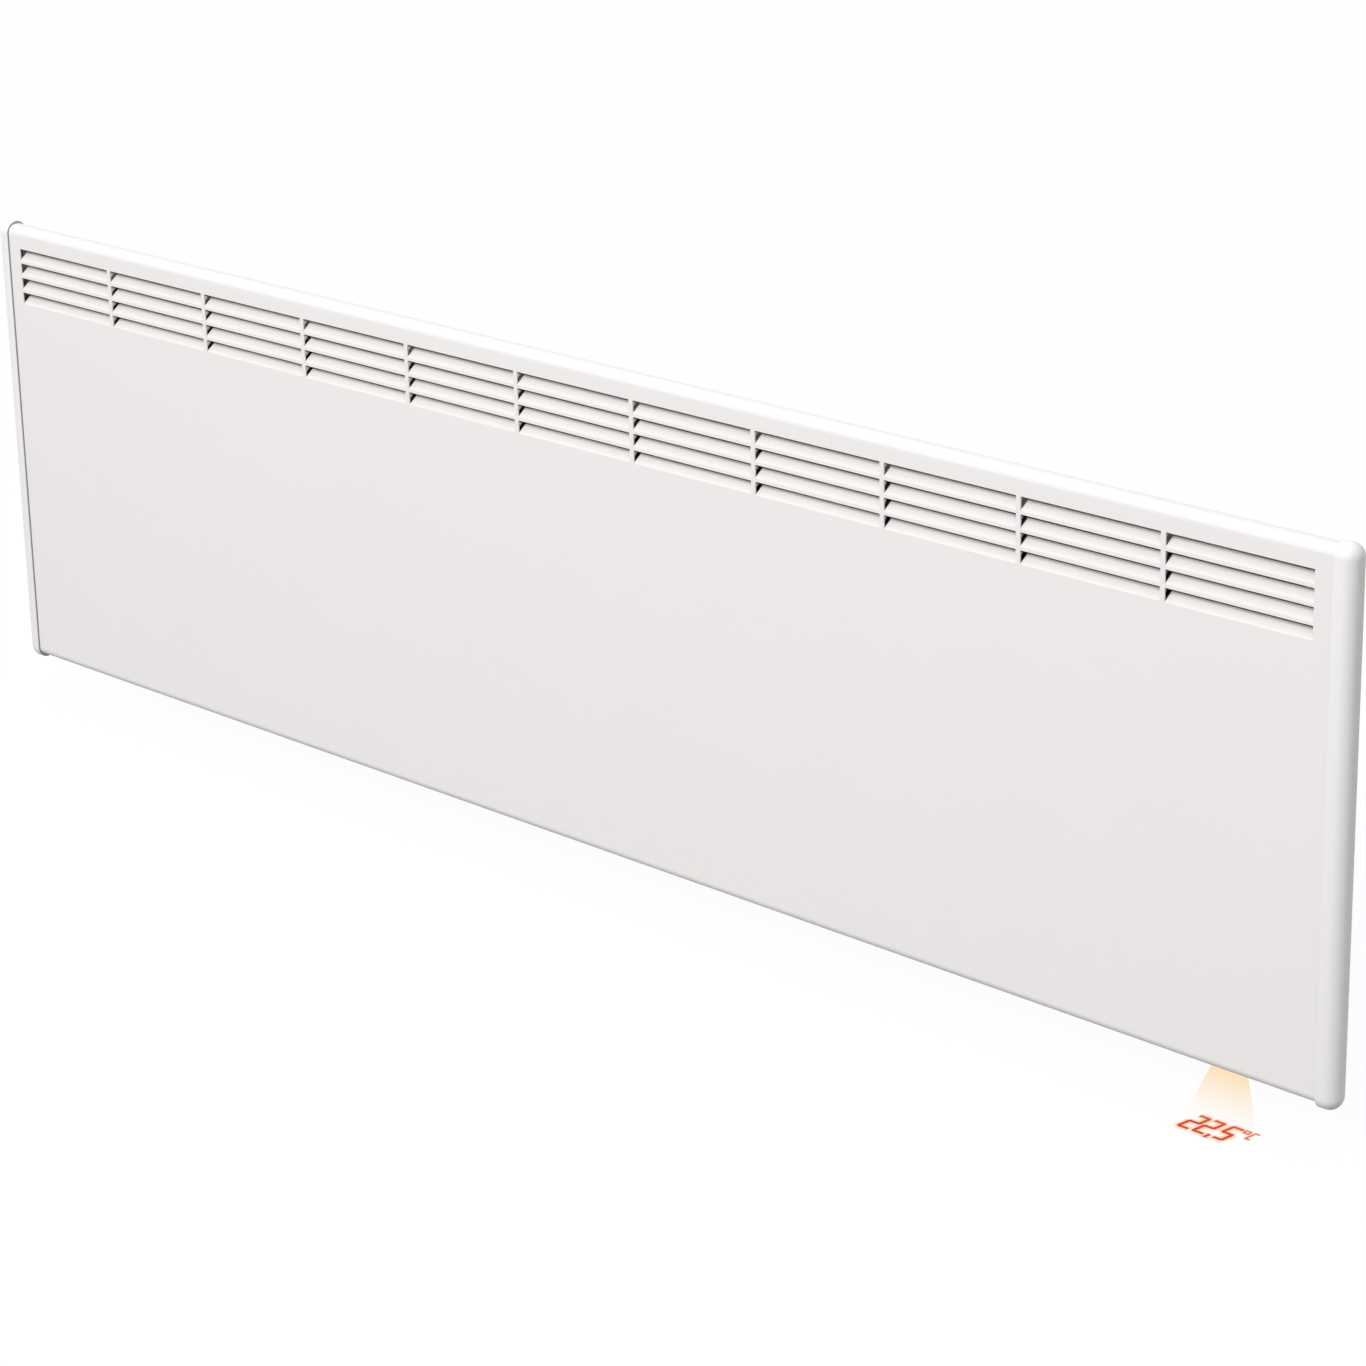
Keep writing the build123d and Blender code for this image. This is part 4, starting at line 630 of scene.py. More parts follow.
def drawn_lines():
    """Fine lines along X from rolling, drawing or extruding."""
    tree, given, result = new_tree("Drawn Lines", "ShaderNodeTree", [
        ("Scale", "Float", 900.0), ("Stretch", "Float", 0.02),
        ("Roughness", "Float", 0.3), ("Spread", "Float", 0.15),
    ], [("Height", "Float"), ("Roughness", "Float")])
    scale = add_node(tree, "ShaderNodeCombineXYZ", {"X": given["Stretch"], "Y": 1.0, "Z": 1.0})
    stretched = add_node(tree, "ShaderNodeVectorMath", {0: object_place(tree), 1: scale[0]},
                         operation="MULTIPLY")
    lines = noise(tree, stretched[0], given["Scale"], 4.0, 0.65)
    connect(result, {
        "Height": lines[0],
        "Roughness": calc(tree, lines[0], "-", 0.5, "*", 2.0, "*", given["Spread"],
                          "+", given["Roughness"], clamp=True)})


SHARED_EFFECTS = (tone_drift, fine_grain, settled_dust, edge_wear, zinc_spangle, drawn_lines)


# ---- Finishes

# The next three are darker colours painted on the faces inside the shell and the casing, as painted
# shade in those recesses
COAT_SHADE_INSIDE = (0.2, 0.2, 0.2, 1.0)
CAP_SHADE_INSIDE = (0.4, 0.4, 0.4, 1.0)
ZINC_SHADE_INSIDE = (0.2, 0.2, 0.2, 1.0)
RUBBED_ZINC = (0.75, 0.75, 0.76, 1.0)
STRIPE_GREEN = (0.05, 0.3, 0.05, 1.0)
STRIPE_YELLOW = (0.75, 0.6, 0.05, 1.0)


def new_finish(slot, metallic=0.0, **sockets):
    """Node tree and Principled shader of a new material for a slot."""
    material = bpy.data.materials.new(FINISHES[slot])
    material.use_nodes = True
    shader = material.node_tree.nodes["Principled BSDF"]
    connect(shader, {"Metallic": metallic, **{
        label.replace("_", " "): value for label, value in sockets.items()}})
    return material.node_tree, shader


def effect(tree, name, inputs):
    """Outputs of a shared effect that is placed in a material with its own values."""
    return add_node(tree, "ShaderNodeGroup", inputs, node_tree=bpy.data.node_groups[name])


def surface(tree, shader, colour, roughness, height=None, depth=0.0):
    """Feed a shader its colour, its roughness and a bump from a height between 0 and 1."""
    connect(shader, {"Base Color": colour, "Roughness": roughness})
    if height is not None:
        bump = add_node(tree, "ShaderNodeBump", {"Distance": depth, "Height": height})
        connect(shader, {"Normal": bump[0]})


def four(colour):
    """Colour with its alpha."""
    return (*colour[:3], 1.0)


def paint_shade_inside(tree, shader, shade_colour):
    """Let the base colour give way to a darker one, painted shade, on the faces marked as inside."""
    inside = add_node(tree, "ShaderNodeAttribute", attribute_name="inside")["Fac"]
    colour = shader.inputs["Base Color"].links[0].from_socket
    connect(shader, {"Base Color": blend(tree, inside, colour, shade_colour)})


def moulding(slot, colour, roughness, scale=2600.0, depth=0.012, drift=0.015, dust=0.0,
             spread=0.06, **sockets):
    """Moulded plastic, coat or rubber: slow tone changes, fine grain and some dust."""
    tree, shader = new_finish(slot, **sockets)
    tone = effect(tree, "Tone Drift", {"Color": four(colour), "Amount": drift, "Scale": 14.0})
    grain = effect(tree, "Fine Grain", {
        "Scale": scale, "Fine Share": 0.35, "Roughness": roughness, "Spread": spread})
    dusty = effect(tree, "Settled Dust", {"Color": tone["Color"], "Amount": dust})
    surface(tree, shader, dusty["Color"], grain["Roughness"], grain["Height"], depth * MM)
    return tree, shader


def painted(slot, colour, shade_colour, **grain):
    """Satin white, with a darker colour as painted shade on the faces marked as inside."""
    tree, shader = moulding(slot, colour, 0.55, depth=0.014, drift=0.008, dust=0.02,
                            Specular_IOR_Level=0.35, **grain)
    paint_shade_inside(tree, shader, shade_colour)


def speckled(slot, colour, spots, roughness, scale):
    """Moulding with small spots of another shade."""
    tree, shader = moulding(slot, colour, roughness, scale=900.0, depth=0.03)
    cells = add_node(tree, "ShaderNodeTexVoronoi", {"Vector": object_place(tree), "Scale": scale})
    near = ramp(tree, cells["Distance"], 0.25, 0.15)
    plain = shader.inputs["Base Color"].links[0].from_socket
    connect(shader, {"Base Color": blend(tree, calc(tree, near, "*", 0.5), plain, four(spots))})


def plated(slot, colour, roughness, spangle, wear):
    """Zinc on steel: crystals, rubbed edges, some dust, and painted shade on the faces marked as
    inside.
    """
    tree, shader = new_finish(slot, metallic=1.0)
    crystals = effect(tree, "Zinc Spangle", {
        "Color": four(colour), "Contrast": spangle, "Roughness": roughness, "Scale": 160.0})
    worn = effect(tree, "Edge Wear", {"Amount": wear})
    rubbed = blend(tree, worn["Mask"], crystals["Color"], RUBBED_ZINC)
    dusty = effect(tree, "Settled Dust", {"Color": rubbed, "Amount": 0.05})
    surface(tree, shader, dusty["Color"], crystals["Roughness"], crystals["Height"], 0.01 * MM)
    # Painted shade: darker on the faces marked as inside
    paint_shade_inside(tree, shader, ZINC_SHADE_INSIDE)


def drawn(slot, colour, roughness, scale=900.0, stretch=0.02, drift=0.05):
    """Rolled, drawn or extruded metal with fine lines along X."""
    tree, shader = new_finish(slot, metallic=1.0)
    tone = effect(tree, "Tone Drift", {"Color": four(colour), "Amount": drift, "Scale": 30.0})
    lines = effect(tree, "Drawn Lines", {
        "Scale": scale, "Stretch": stretch, "Roughness": roughness, "Spread": 0.12})
    dusty = effect(tree, "Settled Dust", {"Color": tone["Color"], "Amount": 0.03})
    surface(tree, shader, dusty["Color"], lines["Roughness"], lines["Height"], 0.01 * MM)


def clear(slot, colour, roughness):
    """Glass with faint smears."""
    tree, shader = new_finish(slot, Transmission_Weight=1.0, IOR=1.5)
    tone = effect(tree, "Tone Drift", {"Color": four(colour), "Amount": 0.02, "Scale": 200.0})
    smears = effect(tree, "Fine Grain", {"Scale": 900.0, "Roughness": roughness, "Spread": 0.03})
    surface(tree, shader, tone["Color"], smears["Roughness"])


def solder_mask():
    """Green solder mask over copper tracks."""
    tree, shader = new_finish("board_laminate")
    tracks = add_node(tree, "ShaderNodeTexBrick", {
        "Vector": object_place(tree), "Color1": (0.012, 0.09, 0.035, 1),
        "Color2": (0.018, 0.12, 0.045, 1), "Mortar": (0.05, 0.26, 0.1, 1), "Scale": 260.0,
        "Mortar Size": 0.06})
    tone = effect(tree, "Tone Drift", {"Color": tracks["Color"], "Amount": 0.06, "Scale": 90.0})
    grain = effect(tree, "Fine Grain", {"Scale": 1500.0, "Roughness": 0.3, "Spread": 0.08})
    surface(tree, shader, tone["Color"], grain["Roughness"], tracks["Fac"], 0.03 * MM)


def earth_insulation():
    """Green insulation with a yellow stripe that winds round it."""
    tree, shader = new_finish("lead_green")
    bands = add_node(tree, "ShaderNodeTexWave", {
        "Vector": object_place(tree), "Scale": 60.0, "Distortion": 0.3},
        bands_direction="DIAGONAL")
    striped = blend(tree, ramp(tree, bands["Fac"], 0.55, 0.6), STRIPE_GREEN, STRIPE_YELLOW)
    grain = effect(tree, "Fine Grain", {"Scale": 2500.0, "Roughness": 0.5, "Spread": 0.08})
    surface(tree, shader, striped, grain["Roughness"], grain["Height"], 0.01 * MM)


class HEATER_OT_finishes(bpy.types.Operator):
    """Make every finish and give the CAD nodes theirs"""
    bl_idname = "heater.finishes"
    bl_label = "Finishes"

    def execute(self, context):
        colours = context.scene.heater_colours
        for make in SHARED_EFFECTS:
            make()
        painted("powder_coat", colours.coat, COAT_SHADE_INSIDE, scale=850.0, spread=0.05)
        painted("cap_plastic", colours.cap, CAP_SHADE_INSIDE, scale=2400.0, spread=0.04)
        plated("zinc_sheet", colours.zinc, 0.42, spangle=0.22, wear=0.35)
        plated("bracket_zinc", (0.6, 0.61, 0.62), 0.38, spangle=0.08, wear=0.5)
        plated("fastener_steel", (0.62, 0.62, 0.63), 0.3, spangle=0.04, wear=0.6)
        drawn("spring_steel", (0.09, 0.1, 0.13), 0.32, scale=1200.0)
        drawn("rivet_aluminium", (0.72, 0.72, 0.73), 0.36, scale=1500.0, stretch=0.6)
        drawn("element_aluminium", (0.66, 0.66, 0.67), 0.34)
        drawn("reflector_aluminium", (0.85, 0.85, 0.86), 0.22, scale=700.0)
        drawn("sheath_steel", (0.3, 0.27, 0.24), 0.42, drift=0.2)
        drawn("sink_aluminium", (0.03, 0.03, 0.032), 0.45)
        drawn("stud_brass", (0.62, 0.42, 0.14), 0.3, scale=1500.0, stretch=0.3)
        speckled("bush_ceramic", (0.83, 0.79, 0.7), (0.6, 0.55, 0.45), 0.75, 900.0)
        speckled("cutout_phenolic", (0.03, 0.025, 0.02), (0.09, 0.07, 0.05), 0.45, 1200.0)
        moulding("housing_plastic", (0.62, 0.62, 0.6), 0.5, depth=0.02, dust=0.06)
        moulding("bezel_plastic", (0.76, 0.755, 0.745), 0.46, depth=0.014)
        moulding("switch_black", (0.014, 0.014, 0.015), 0.32, scale=3000.0, depth=0.008)
        moulding("button_plastic", (0.3, 0.31, 0.32), 0.48)
        moulding("module_black", (0.02, 0.02, 0.02), 0.55, scale=1200.0, depth=0.02)
        moulding("relay_blue", (0.02, 0.08, 0.3), 0.36)
        moulding("terminal_nylon", (0.72, 0.69, 0.6), 0.5, Subsurface_Weight=0.1,
                 Subsurface_Scale=0.001)
        moulding("led_amber", (0.9, 0.35, 0.05), 0.25, Emission_Color=(1.0, 0.28, 0.05, 1),
                 Emission_Strength=0.6)
        moulding("barrel_black", (0.012, 0.012, 0.012), 0.7, scale=1500.0, depth=0.03)
        moulding("gland_nylon", (0.64, 0.64, 0.62), 0.48, depth=0.016)
        moulding("lead_red", (0.3, 0.012, 0.01), 0.5, scale=1500.0)
        moulding("lead_blue", (0.012, 0.04, 0.26), 0.5, scale=1500.0)
        moulding("lead_brown", (0.085, 0.03, 0.012), 0.5, scale=1500.0)
        clear("mask_glass", (0.35, 0.12, 0.08), 0.08)
        clear("lens_glass", (0.95, 0.97, 0.98), 0.04)
        solder_mask()
        earth_insulation()
        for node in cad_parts.values():
            slot = node.material_slots[0]
            slot.material = finish_of(slot.material.name.split(".")[0])
        return {"FINISHED"}


# ---- Front panel

CROWN_STEPS = 14
FOLD_STEPS = 8
SHEET_EDGE_ANGLE = 50.0

# Least share of a face's normal along an axis for a face that looks to the room or the middle
LOOKS_TO_ROOM = 0.5
LOOKS_TO_MIDDLE = 0.3


def louvre_setback(louvres):
    """Height of the bend below the line where the slat's face meets the sheet."""
    return louvres.bend_radius * math.tan((math.pi / 2 - louvres.angle) / 2)


def column_places(louvres):
    """Middle of each column."""
    pitch = louvres.length + louvres.mullion
    return [(index - (louvres.columns - 1) / 2) * pitch for index in range(louvres.columns)]


def row_tops(panel, louvres):
    """Upper edge of each row of openings."""
    pitch = louvres.height + louvres.bar
    return [panel.height / 2 - louvres.top_margin - index * pitch for index in range(louvres.rows)]


def sheet_outline(panel, louvres):
    """Outer line of the sheet in (y, z), from its upper free edge over the top to its lower one."""
    low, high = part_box("front_panel")
    front, back = low.y, high.y
    crown = panel.crown_radius
    shoulder = panel.height / 2 - panel.crown_sink - crown
    fold = panel.bottom_radius
    knee = fold - panel.height / 2
    outline = [(back, shoulder - panel.back_leg)]
    outline += arc((back - crown, shoulder), crown, 0, 90, CROWN_STEPS)
    outline += arc((front + crown, shoulder), crown, 90, 180, CROWN_STEPS)
    for top in row_tops(panel, louvres):
        outline.append((front, top))
        outline.append((front, top - louvres.height - louvre_setback(louvres)))
    outline += arc((front + fold, knee), fold, 180, 270, FOLD_STEPS)
    outline += arc((back - fold, knee), fold, 270, 360, FOLD_STEPS)
    outline.append((back, knee + panel.back_leg))
    return outline


class HEATER_OT_front_panel(bpy.types.Operator):
    """Fold the front sheet and bend its louvres out of it"""
    bl_idname = "heater.front_panel"
    bl_label = "Front Panel"

    def execute(self, context):
        panel = context.scene.heater_panel
        louvres = context.scene.heater_louvres
        low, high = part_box("front_panel")
        outline = sheet_outline(panel, louvres)
        half = louvres.length / 2
        cuts = [low.x]
        open_strips = set()
        for middle in column_places(louvres):
            for edge in (-half, -half + louvres.end_gap, half - louvres.end_gap, half):
                if edge < half:
                    open_strips.add(len(cuts))
                cuts.append(middle + edge)
        cuts.append(high.x)
        tops = row_tops(panel, louvres)
        bm = bmesh.new()
        grid = [[bm.verts.new((x, y, z)) for x in cuts] for y, z in outline]
        for index, (above, below) in enumerate(zip(grid, grid[1:])):
            starts_row = outline[index][0] == low.y and outline[index][1] in tops
            for strip in range(len(cuts) - 1):
                if starts_row and strip in open_strips:
                    continue
                bm.faces.new((above[strip], below[strip], below[strip + 1], above[strip + 1]))
        sheet = object_from("front_panel_sheet", bm, finish_of("powder_coat"))
        feet = [top - louvres.height - louvre_setback(louvres) for top in tops]
        use_tree(sheet, slat_tree(), {
            "Columns": louvres.columns,
            "Rows": louvres.rows,
            "Column Pitch": louvres.length + louvres.mullion,
            "Row Pitch": louvres.height + louvres.bar,
            "Slat Length": louvres.length - 2 * louvres.end_gap,
            "Slat Reach": louvres.height - louvre_setback(louvres),
            "Bend Radius": louvres.bend_radius,
            "Bend Turn": math.pi / 2 - louvres.angle,
            "Middle": (0.0, low.y, (feet[0] + feet[-1]) / 2),
            "Finish": finish_of("powder_coat"),
        })
        baked(sheet)
        solid = sheet.modifiers.new("Sheet", "SOLIDIFY")
        solid.thickness = panel.sheet
        solid.offset = -1.0
        solid.use_even_offset = True
        round_edges(sheet, panel.edge_radius, angle=SHEET_EDGE_ANGLE)
        baked(sheet)
        # Painted shade: the faces at the back that look to the room, seen through the louvres, get the
        # darker colour
        behind = high.y - panel.sheet * 1.5
        mark_painted_shade(sheet, lambda face: face.center.y > behind and face.normal.y < -LOOKS_TO_ROOM)
        publish(sheet, "heater", "front_panel")
        return {"FINISHED"}


# ---- End caps

BOSS_DEPTH = 9.5 * MM
BOSS_HALF_HEIGHT = 5.0 * MM
BOSS_SINK = 0.2 * MM
SCREW_HOLE_RADIUS = 1.5 * MM
DRILL_SPARE = 2 * MM
FACE_SPARE = 0.01 * MM
PILL_STEPS = 20
RIM_STEPS = 4
EDGE_STEPS = 16
CAP_SMOOTH = 50.0


def pill_ring(bm, x, middle, radius, straight):
    """Ring of vertices round an upright pill about a middle in (y, z)."""
    points = arc((middle[0], middle[1] + straight), radius, 0, 180, PILL_STEPS)
    points += arc((middle[0], middle[1] - straight), radius, 180, 360, PILL_STEPS)
    return [bm.verts.new((x, y, z)) for y, z in points]


def add_bosses(cap, places, tip_x, end_x, back_y):
    """Join a boss to a cap's hollow at each screw, and drill it."""
    bosses = bmesh.new()
    holes = bmesh.new()
    inward = BOSS_SINK if end_x > tip_x else -BOSS_SINK
    ends = sorted((tip_x + inward, end_x + inward))
    for place in places:
        add_block(bosses, (ends[0], back_y - BOSS_DEPTH, place.z - BOSS_HALF_HEIGHT),
                  (ends[1], back_y - BOSS_SINK, place.z + BOSS_HALF_HEIGHT))
        drill = Matrix.Translation((place.x, back_y, place.z)) @ Matrix.Rotation(math.pi / 2, 4, "X")
        bmesh.ops.create_cone(holes, cap_ends=True, segments=TURNED_STEPS, matrix=drill,
                              radius1=SCREW_HOLE_RADIUS, radius2=SCREW_HOLE_RADIUS,
                              depth=2 * BOSS_DEPTH + DRILL_SPARE)
    plastic = finish_of("cap_plastic")
    cut_with(cap, object_from("bosses", bosses, plastic), "UNION")
    cut_with(cap, object_from("boss_holes", holes, plastic))


class HEATER_OT_end_caps(bpy.types.Operator):
    """Loft the two hollow end caps with their spigots and screw bosses"""
    bl_idname = "heater.end_caps"
    bl_label = "End Caps"

    def execute(self, context):
        caps = context.scene.heater_caps
        low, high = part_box("front_panel")
        half_height = context.scene.heater_panel.height / 2
        shell_radius = (high.y - low.y) / 2
        middle_y = (high.y + low.y) / 2
        radius = shell_radius + caps.proud
        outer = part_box("right_end_cap")[1].x
        hollow_end = outer - caps.end_wall
        tip = high.x - caps.spigot_reach
        face = high.x + caps.groove
        rim, edge = caps.rim_radius, caps.edge_radius
        outline_middle = (middle_y, (caps.top_proud - caps.bottom_proud) / 2)
        outline_straight = half_height + (caps.top_proud + caps.bottom_proud) / 2 - radius
        outside = [(face + rim * (1 - cos), rim * (1 - sin)) for sin, cos in quarter(RIM_STEPS)]
        outside += [(outer - edge + edge * sin, edge * (1 - cos))
                    for sin, cos in quarter(EDGE_STEPS)]
        inside = ((hollow_end, caps.hollow_inset), (tip, caps.hollow_inset),
                  (tip, caps.spigot_inset), (face, caps.spigot_inset))
        screws = [(lowest + highest) / 2 for lowest, highest in islands("end_cap_screws")]
        for node, side in (("left_end_cap", -1), ("right_end_cap", 1)):
            bm = bmesh.new()
            rings = [pill_ring(bm, side * x, (middle_y, 0), shell_radius - inset,
                               half_height - shell_radius) for x, inset in inside]
            rings += [pill_ring(bm, side * x, outline_middle, radius - inset, outline_straight)
                      for x, inset in outside]
            bridge(bm, rings)
            bm.faces.new(rings[0])
            bm.faces.new(rings[-1])
            bmesh.ops.recalc_face_normals(bm, faces=bm.faces)
            cap = object_from(node + "_moulding", bm, finish_of("cap_plastic"))
            places = [place for place in screws if place.x * side > 0]
            add_bosses(cap, places, side * tip, side * hollow_end, high.y - caps.spigot_inset)
            smooth_up_to(cap, CAP_SMOOTH)
            # Painted shade: the spigot, hollow and groove faces of the cap get the darker colour
            mark_painted_shade(cap, lambda part: abs(part.center.x) < face + FACE_SPARE)
            publish(cap, "heater", node)
        return {"FINISHED"}


# ---- Fixings

FACING_WALL = (-math.pi / 2, 0.0, 0.0)
FACING_ROOM = (math.pi / 2, 0.0, 0.0)
FACING_DOWN = (math.pi, 0.0, 0.0)
FACING_UP = (0.0, 0.0, 0.0)

# For each way that a fixing faces, the axis that its head is on and whether it is on the low side
HEAD_SIDES = {FACING_WALL: (1, False), FACING_ROOM: (1, True), FACING_DOWN: (2, True),
              FACING_UP: (2, False)}

# Node, head's radius and height, shank's radius and length, all in mm, and the way it faces
SCREWS = (
    ("casing_screws", 3.2, 2.0, 1.45, 6.0, FACING_WALL),
    ("end_cap_screws", 3.2, 2.0, 1.45, 9.0, FACING_WALL),
    ("bezel_screws", 2.2, 1.4, 1.2, 7.3, FACING_DOWN),
    ("board_screws", 2.2, 1.4, 1.2, 7.0, FACING_UP),
)

# Node, body, the way it faces, grip in mm, and whether both ends have a head
RIVETS = (
    ("hanger_rivets", "heater", FACING_WALL, 2.0, True),
    ("baffle_rivets", "heater", FACING_WALL, 1.7, True),
    ("rear_rivets", "heater", FACING_WALL, 2.8, True),
    ("crossbar_rivets", "wall_bracket", FACING_ROOM, 3.0, False),
    ("clip_rivets", "wall_bracket", FACING_ROOM, 2.3, False),
)
RIVET_HEAD_RADIUS = 3.0 * MM
RIVET_HEAD_HEIGHT = 1.0 * MM
RIVET_SHANK_RADIUS = 1.6 * MM
RIVET_SMOOTH = 40.0
SCREW_EDGE_ANGLE = 35.0
HEAD_STEPS = 5
DOME_STEPS = 6


def cross_head(name, radius, height, shank, length):
    """Pan-head screw along Z with its seat at zero and a cross recess."""
    flat, wall = radius * 0.55, height * 0.3
    tip, point, taper = shank * 0.35, shank * 0.3, shank * 1.6
    profile = [(0, -length), (tip, -length + point), (shank, -length + taper),
               (shank, 0), (radius, 0), (radius, wall)]
    profile += [(flat + (radius - flat) * cos, wall + (height - wall) * sin)
                for sin, cos in quarter(HEAD_STEPS)[1:]]
    screw = lathe(name, profile + [(0, height)], "fastener_steel")
    bm = bmesh.new()
    arm, half, floor = radius * 0.62, radius * 0.13, height * 0.35
    add_block(bm, (-arm, -half, floor), (arm, half, height * 2))
    add_block(bm, (-half, -arm, floor), (half, arm, height * 2))
    cut_with(screw, object_from(name + "_recess", bm, finish_of("fastener_steel")))
    round_edges(screw, radius * 0.04, angle=SCREW_EDGE_ANGLE)
    return baked(screw)


def dome_rivet(name, radius, height, shank, grip, two_heads):
    """Blind rivet along Z with its upper head above zero and its grip below."""
    def head(start, way):
        rise = way * height
        dome = [(radius, start), (radius, start + rise * 0.25)]
        dome += [(radius * cos, start + rise * (0.25 + 0.75 * sin))
                 for sin, cos in quarter(DOME_STEPS)[1:-2]]
        pit = start + rise * 0.55
        return dome + [(radius * 0.34, start + rise), (radius * 0.3, pit), (0, pit)]

    lower = list(reversed(head(-grip, -1))) if two_heads else [(0, -grip)]
    rivet = lathe(name, lower + [(shank, -grip), (shank, 0)] + head(0, 1), "rivet_aluminium")
    smooth_up_to(rivet, RIVET_SMOOTH)
    return rivet


def fixings(node, suffix, body, slot, fixing, head, facing, seed):
    """One mesh with a fixing in the place of each of a CAD node's, whose heads have one height."""
    axis, low_side = HEAD_SIDES[facing]
    bm = bmesh.new()
    for low, high in islands(node):
        place = (low + high) / 2
        place[axis] = (low[axis] + head) if low_side else (high[axis] - head)
        bm.verts.new(place)
    obj = object_from(f"{node}_{suffix}", bm, finish_of(slot))
    use_tree(obj, fixing_tree(), {
        "Fixing": fixing, "Facing": facing, "Seed": seed, "Finish": finish_of(slot)})
    publish(baked(obj), body, node)
    bpy.data.objects.remove(fixing)


class HEATER_OT_screws(bpy.types.Operator):
    """Set the cross-head screws on their seats"""
    bl_idname = "heater.screws"
    bl_label = "Screws"

    def execute(self, context):
        for seed, (node, *sizes, facing) in enumerate(SCREWS):
            radius, height, shank, length = (size * MM for size in sizes)
            screw = cross_head(node + "_pattern", radius, height, shank, length)
            fixings(node, "cross_head", "heater", "fastener_steel", screw, height, facing, seed)
        return {"FINISHED"}


class HEATER_OT_rivets(bpy.types.Operator):
    """Set the blind rivets of the casing, the hangers and the wall bracket"""
    bl_idname = "heater.rivets"
    bl_label = "Rivets"

    def execute(self, context):
        for seed, (node, body, facing, grip, two_heads) in enumerate(RIVETS):
            rivet = dome_rivet(node + "_pattern", RIVET_HEAD_RADIUS, RIVET_HEAD_HEIGHT,
                               RIVET_SHANK_RADIUS, grip * MM, two_heads)
            fixings(node, "domed", body, "rivet_aluminium", rivet, RIVET_HEAD_HEIGHT, facing, seed)
        return {"FINISHED"}


# ---- Pressed and moulded pieces

class HEATER_OT_casing(bpy.types.Operator):
    """Round the folds of the rear casing"""
    bl_idname = "heater.casing"
    bl_label = "Rear Casing"

    def execute(self, context):
        casing = dressed("rear_casing", "pressing", "heater", "zinc_sheet", 0.18)
        # Painted shade: the casing's faces that look to the room or to the middle get the darker
        # colour
        mark_painted_shade(casing, lambda face: face.normal.y < -LOOKS_TO_ROOM
                    or face.normal.x * face.center.x < -LOOKS_TO_MIDDLE * abs(face.center.x))
        return {"FINISHED"}


class HEATER_OT_bracket(bpy.types.Operator):
    """Round the edges of the wall bracket, its clips and its pins"""
    bl_idname = "heater.bracket"
    bl_label = "Wall Bracket"

    def execute(self, context):
        dressed("bracket_rails", "pressing", "wall_bracket", "bracket_zinc", 0.25)
        dressed("bracket_crossbars", "flat", "wall_bracket", "bracket_zinc", 0.25)
        dressed("spring_clips", "strip", "wall_bracket", "spring_steel", 0.12, angle=50.0)
        dressed("hinge_pins", "turned", "wall_bracket", "fastener_steel", 0.3, angle=50.0)
        return {"FINISHED"}


class HEATER_OT_hinge(bpy.types.Operator):
    """Round the edges of the hinge ears and the catch blades"""
    bl_idname = "heater.hinge"
    bl_label = "Hinge And Catch"

    def execute(self, context):
        dressed("hinge_ears", "pressing", "heater", "bracket_zinc", 0.3)
        dressed("catch_blades", "pressing", "heater", "bracket_zinc", 0.25)
        return {"FINISHED"}


class HEATER_OT_controls(bpy.types.Operator):
    """Round the edges of the bezel, the switch and the gland"""
    bl_idname = "heater.controls"
    bl_label = "Controls"

    def execute(self, context):
        dressed("control_bezel", "moulding", "heater", "bezel_plastic", 0.4, angle=50.0)
        dressed("rocker_frame", "moulding", "heater", "switch_black", 0.25, angle=50.0)
        dressed("rocker_paddle", "moulding", "rocker", "switch_black", 0.35, angle=25.0, segments=3)
        dressed("cable_gland", "moulding", "heater", "gland_nylon", 0.35, angle=50.0)
        dressed("gland_nut", "moulding", "heater", "gland_nylon", 0.3, angle=50.0)
        return {"FINISHED"}


# ---- Stage

CAMERA_PLACE = (1.9939, -1.9987, 0.92542)
CAMERA_TURN = math.radians(44.654)
CAMERA_TILT = math.radians(19.591)
CAMERA_ROLL = math.radians(-1.171)
CAMERA_LENS = 107.22
CAMERA_SENSOR = 36.0
CAMERA_FAR = 100.0
KEY_PLACE = (0.0, -4.0, 2.95)
KEY_SIZE = 2.0
FLOOR_HALF_SIZE = 30.0
FLOOR_BOUNCE = (0.2, 0.2, 0.2, 1.0)
WHITE = (1.0, 1.0, 1.0, 1.0)

HALO_COLOUR = (1.0, 0.42, 0.13)
FAN_COLOUR = (0.98, 0.74, 0.45)
READOUT_THROW = 44.9 * MM     # lens to the readout's middle, towards the room
LAYER_STEP = 0.05 * MM        # between the readout's layers
STROKE_END = 0.15             # share of its width that a stroke runs past its end points

# Strokes of the projected readout, as (right, back) from its middle on the floor, in mm
DIGIT_STROKES = (
    ((-19.2, 8.2), (-11.6, 8.2), (-12.7, -1.7), (-20.3, -1.7), (-21.4, -12.0), (-13.8, -12.0)),
    ((-7.8, 8.7), (-0.2, 8.7), (-1.3, -1.2), (-8.9, -1.2), (-10.0, -11.5), (-2.4, -11.5)),
    ((1.6, -9.6), (0.9, -14.6)),
    ((14.0, 9.4), (6.4, 9.4), (5.3, -0.7), (12.9, -0.7), (11.8, -10.8), (5.5, -10.8)),
)
UNIT_STROKES = (
    ((16.0, 10.4), (19.7, 10.4), (20.0, 6.6), (16.2, 6.6), (16.0, 10.4)),
    ((26.2, 10.5), (22.9, 10.5), (22.0, 0.6), (25.3, 0.6)),
)

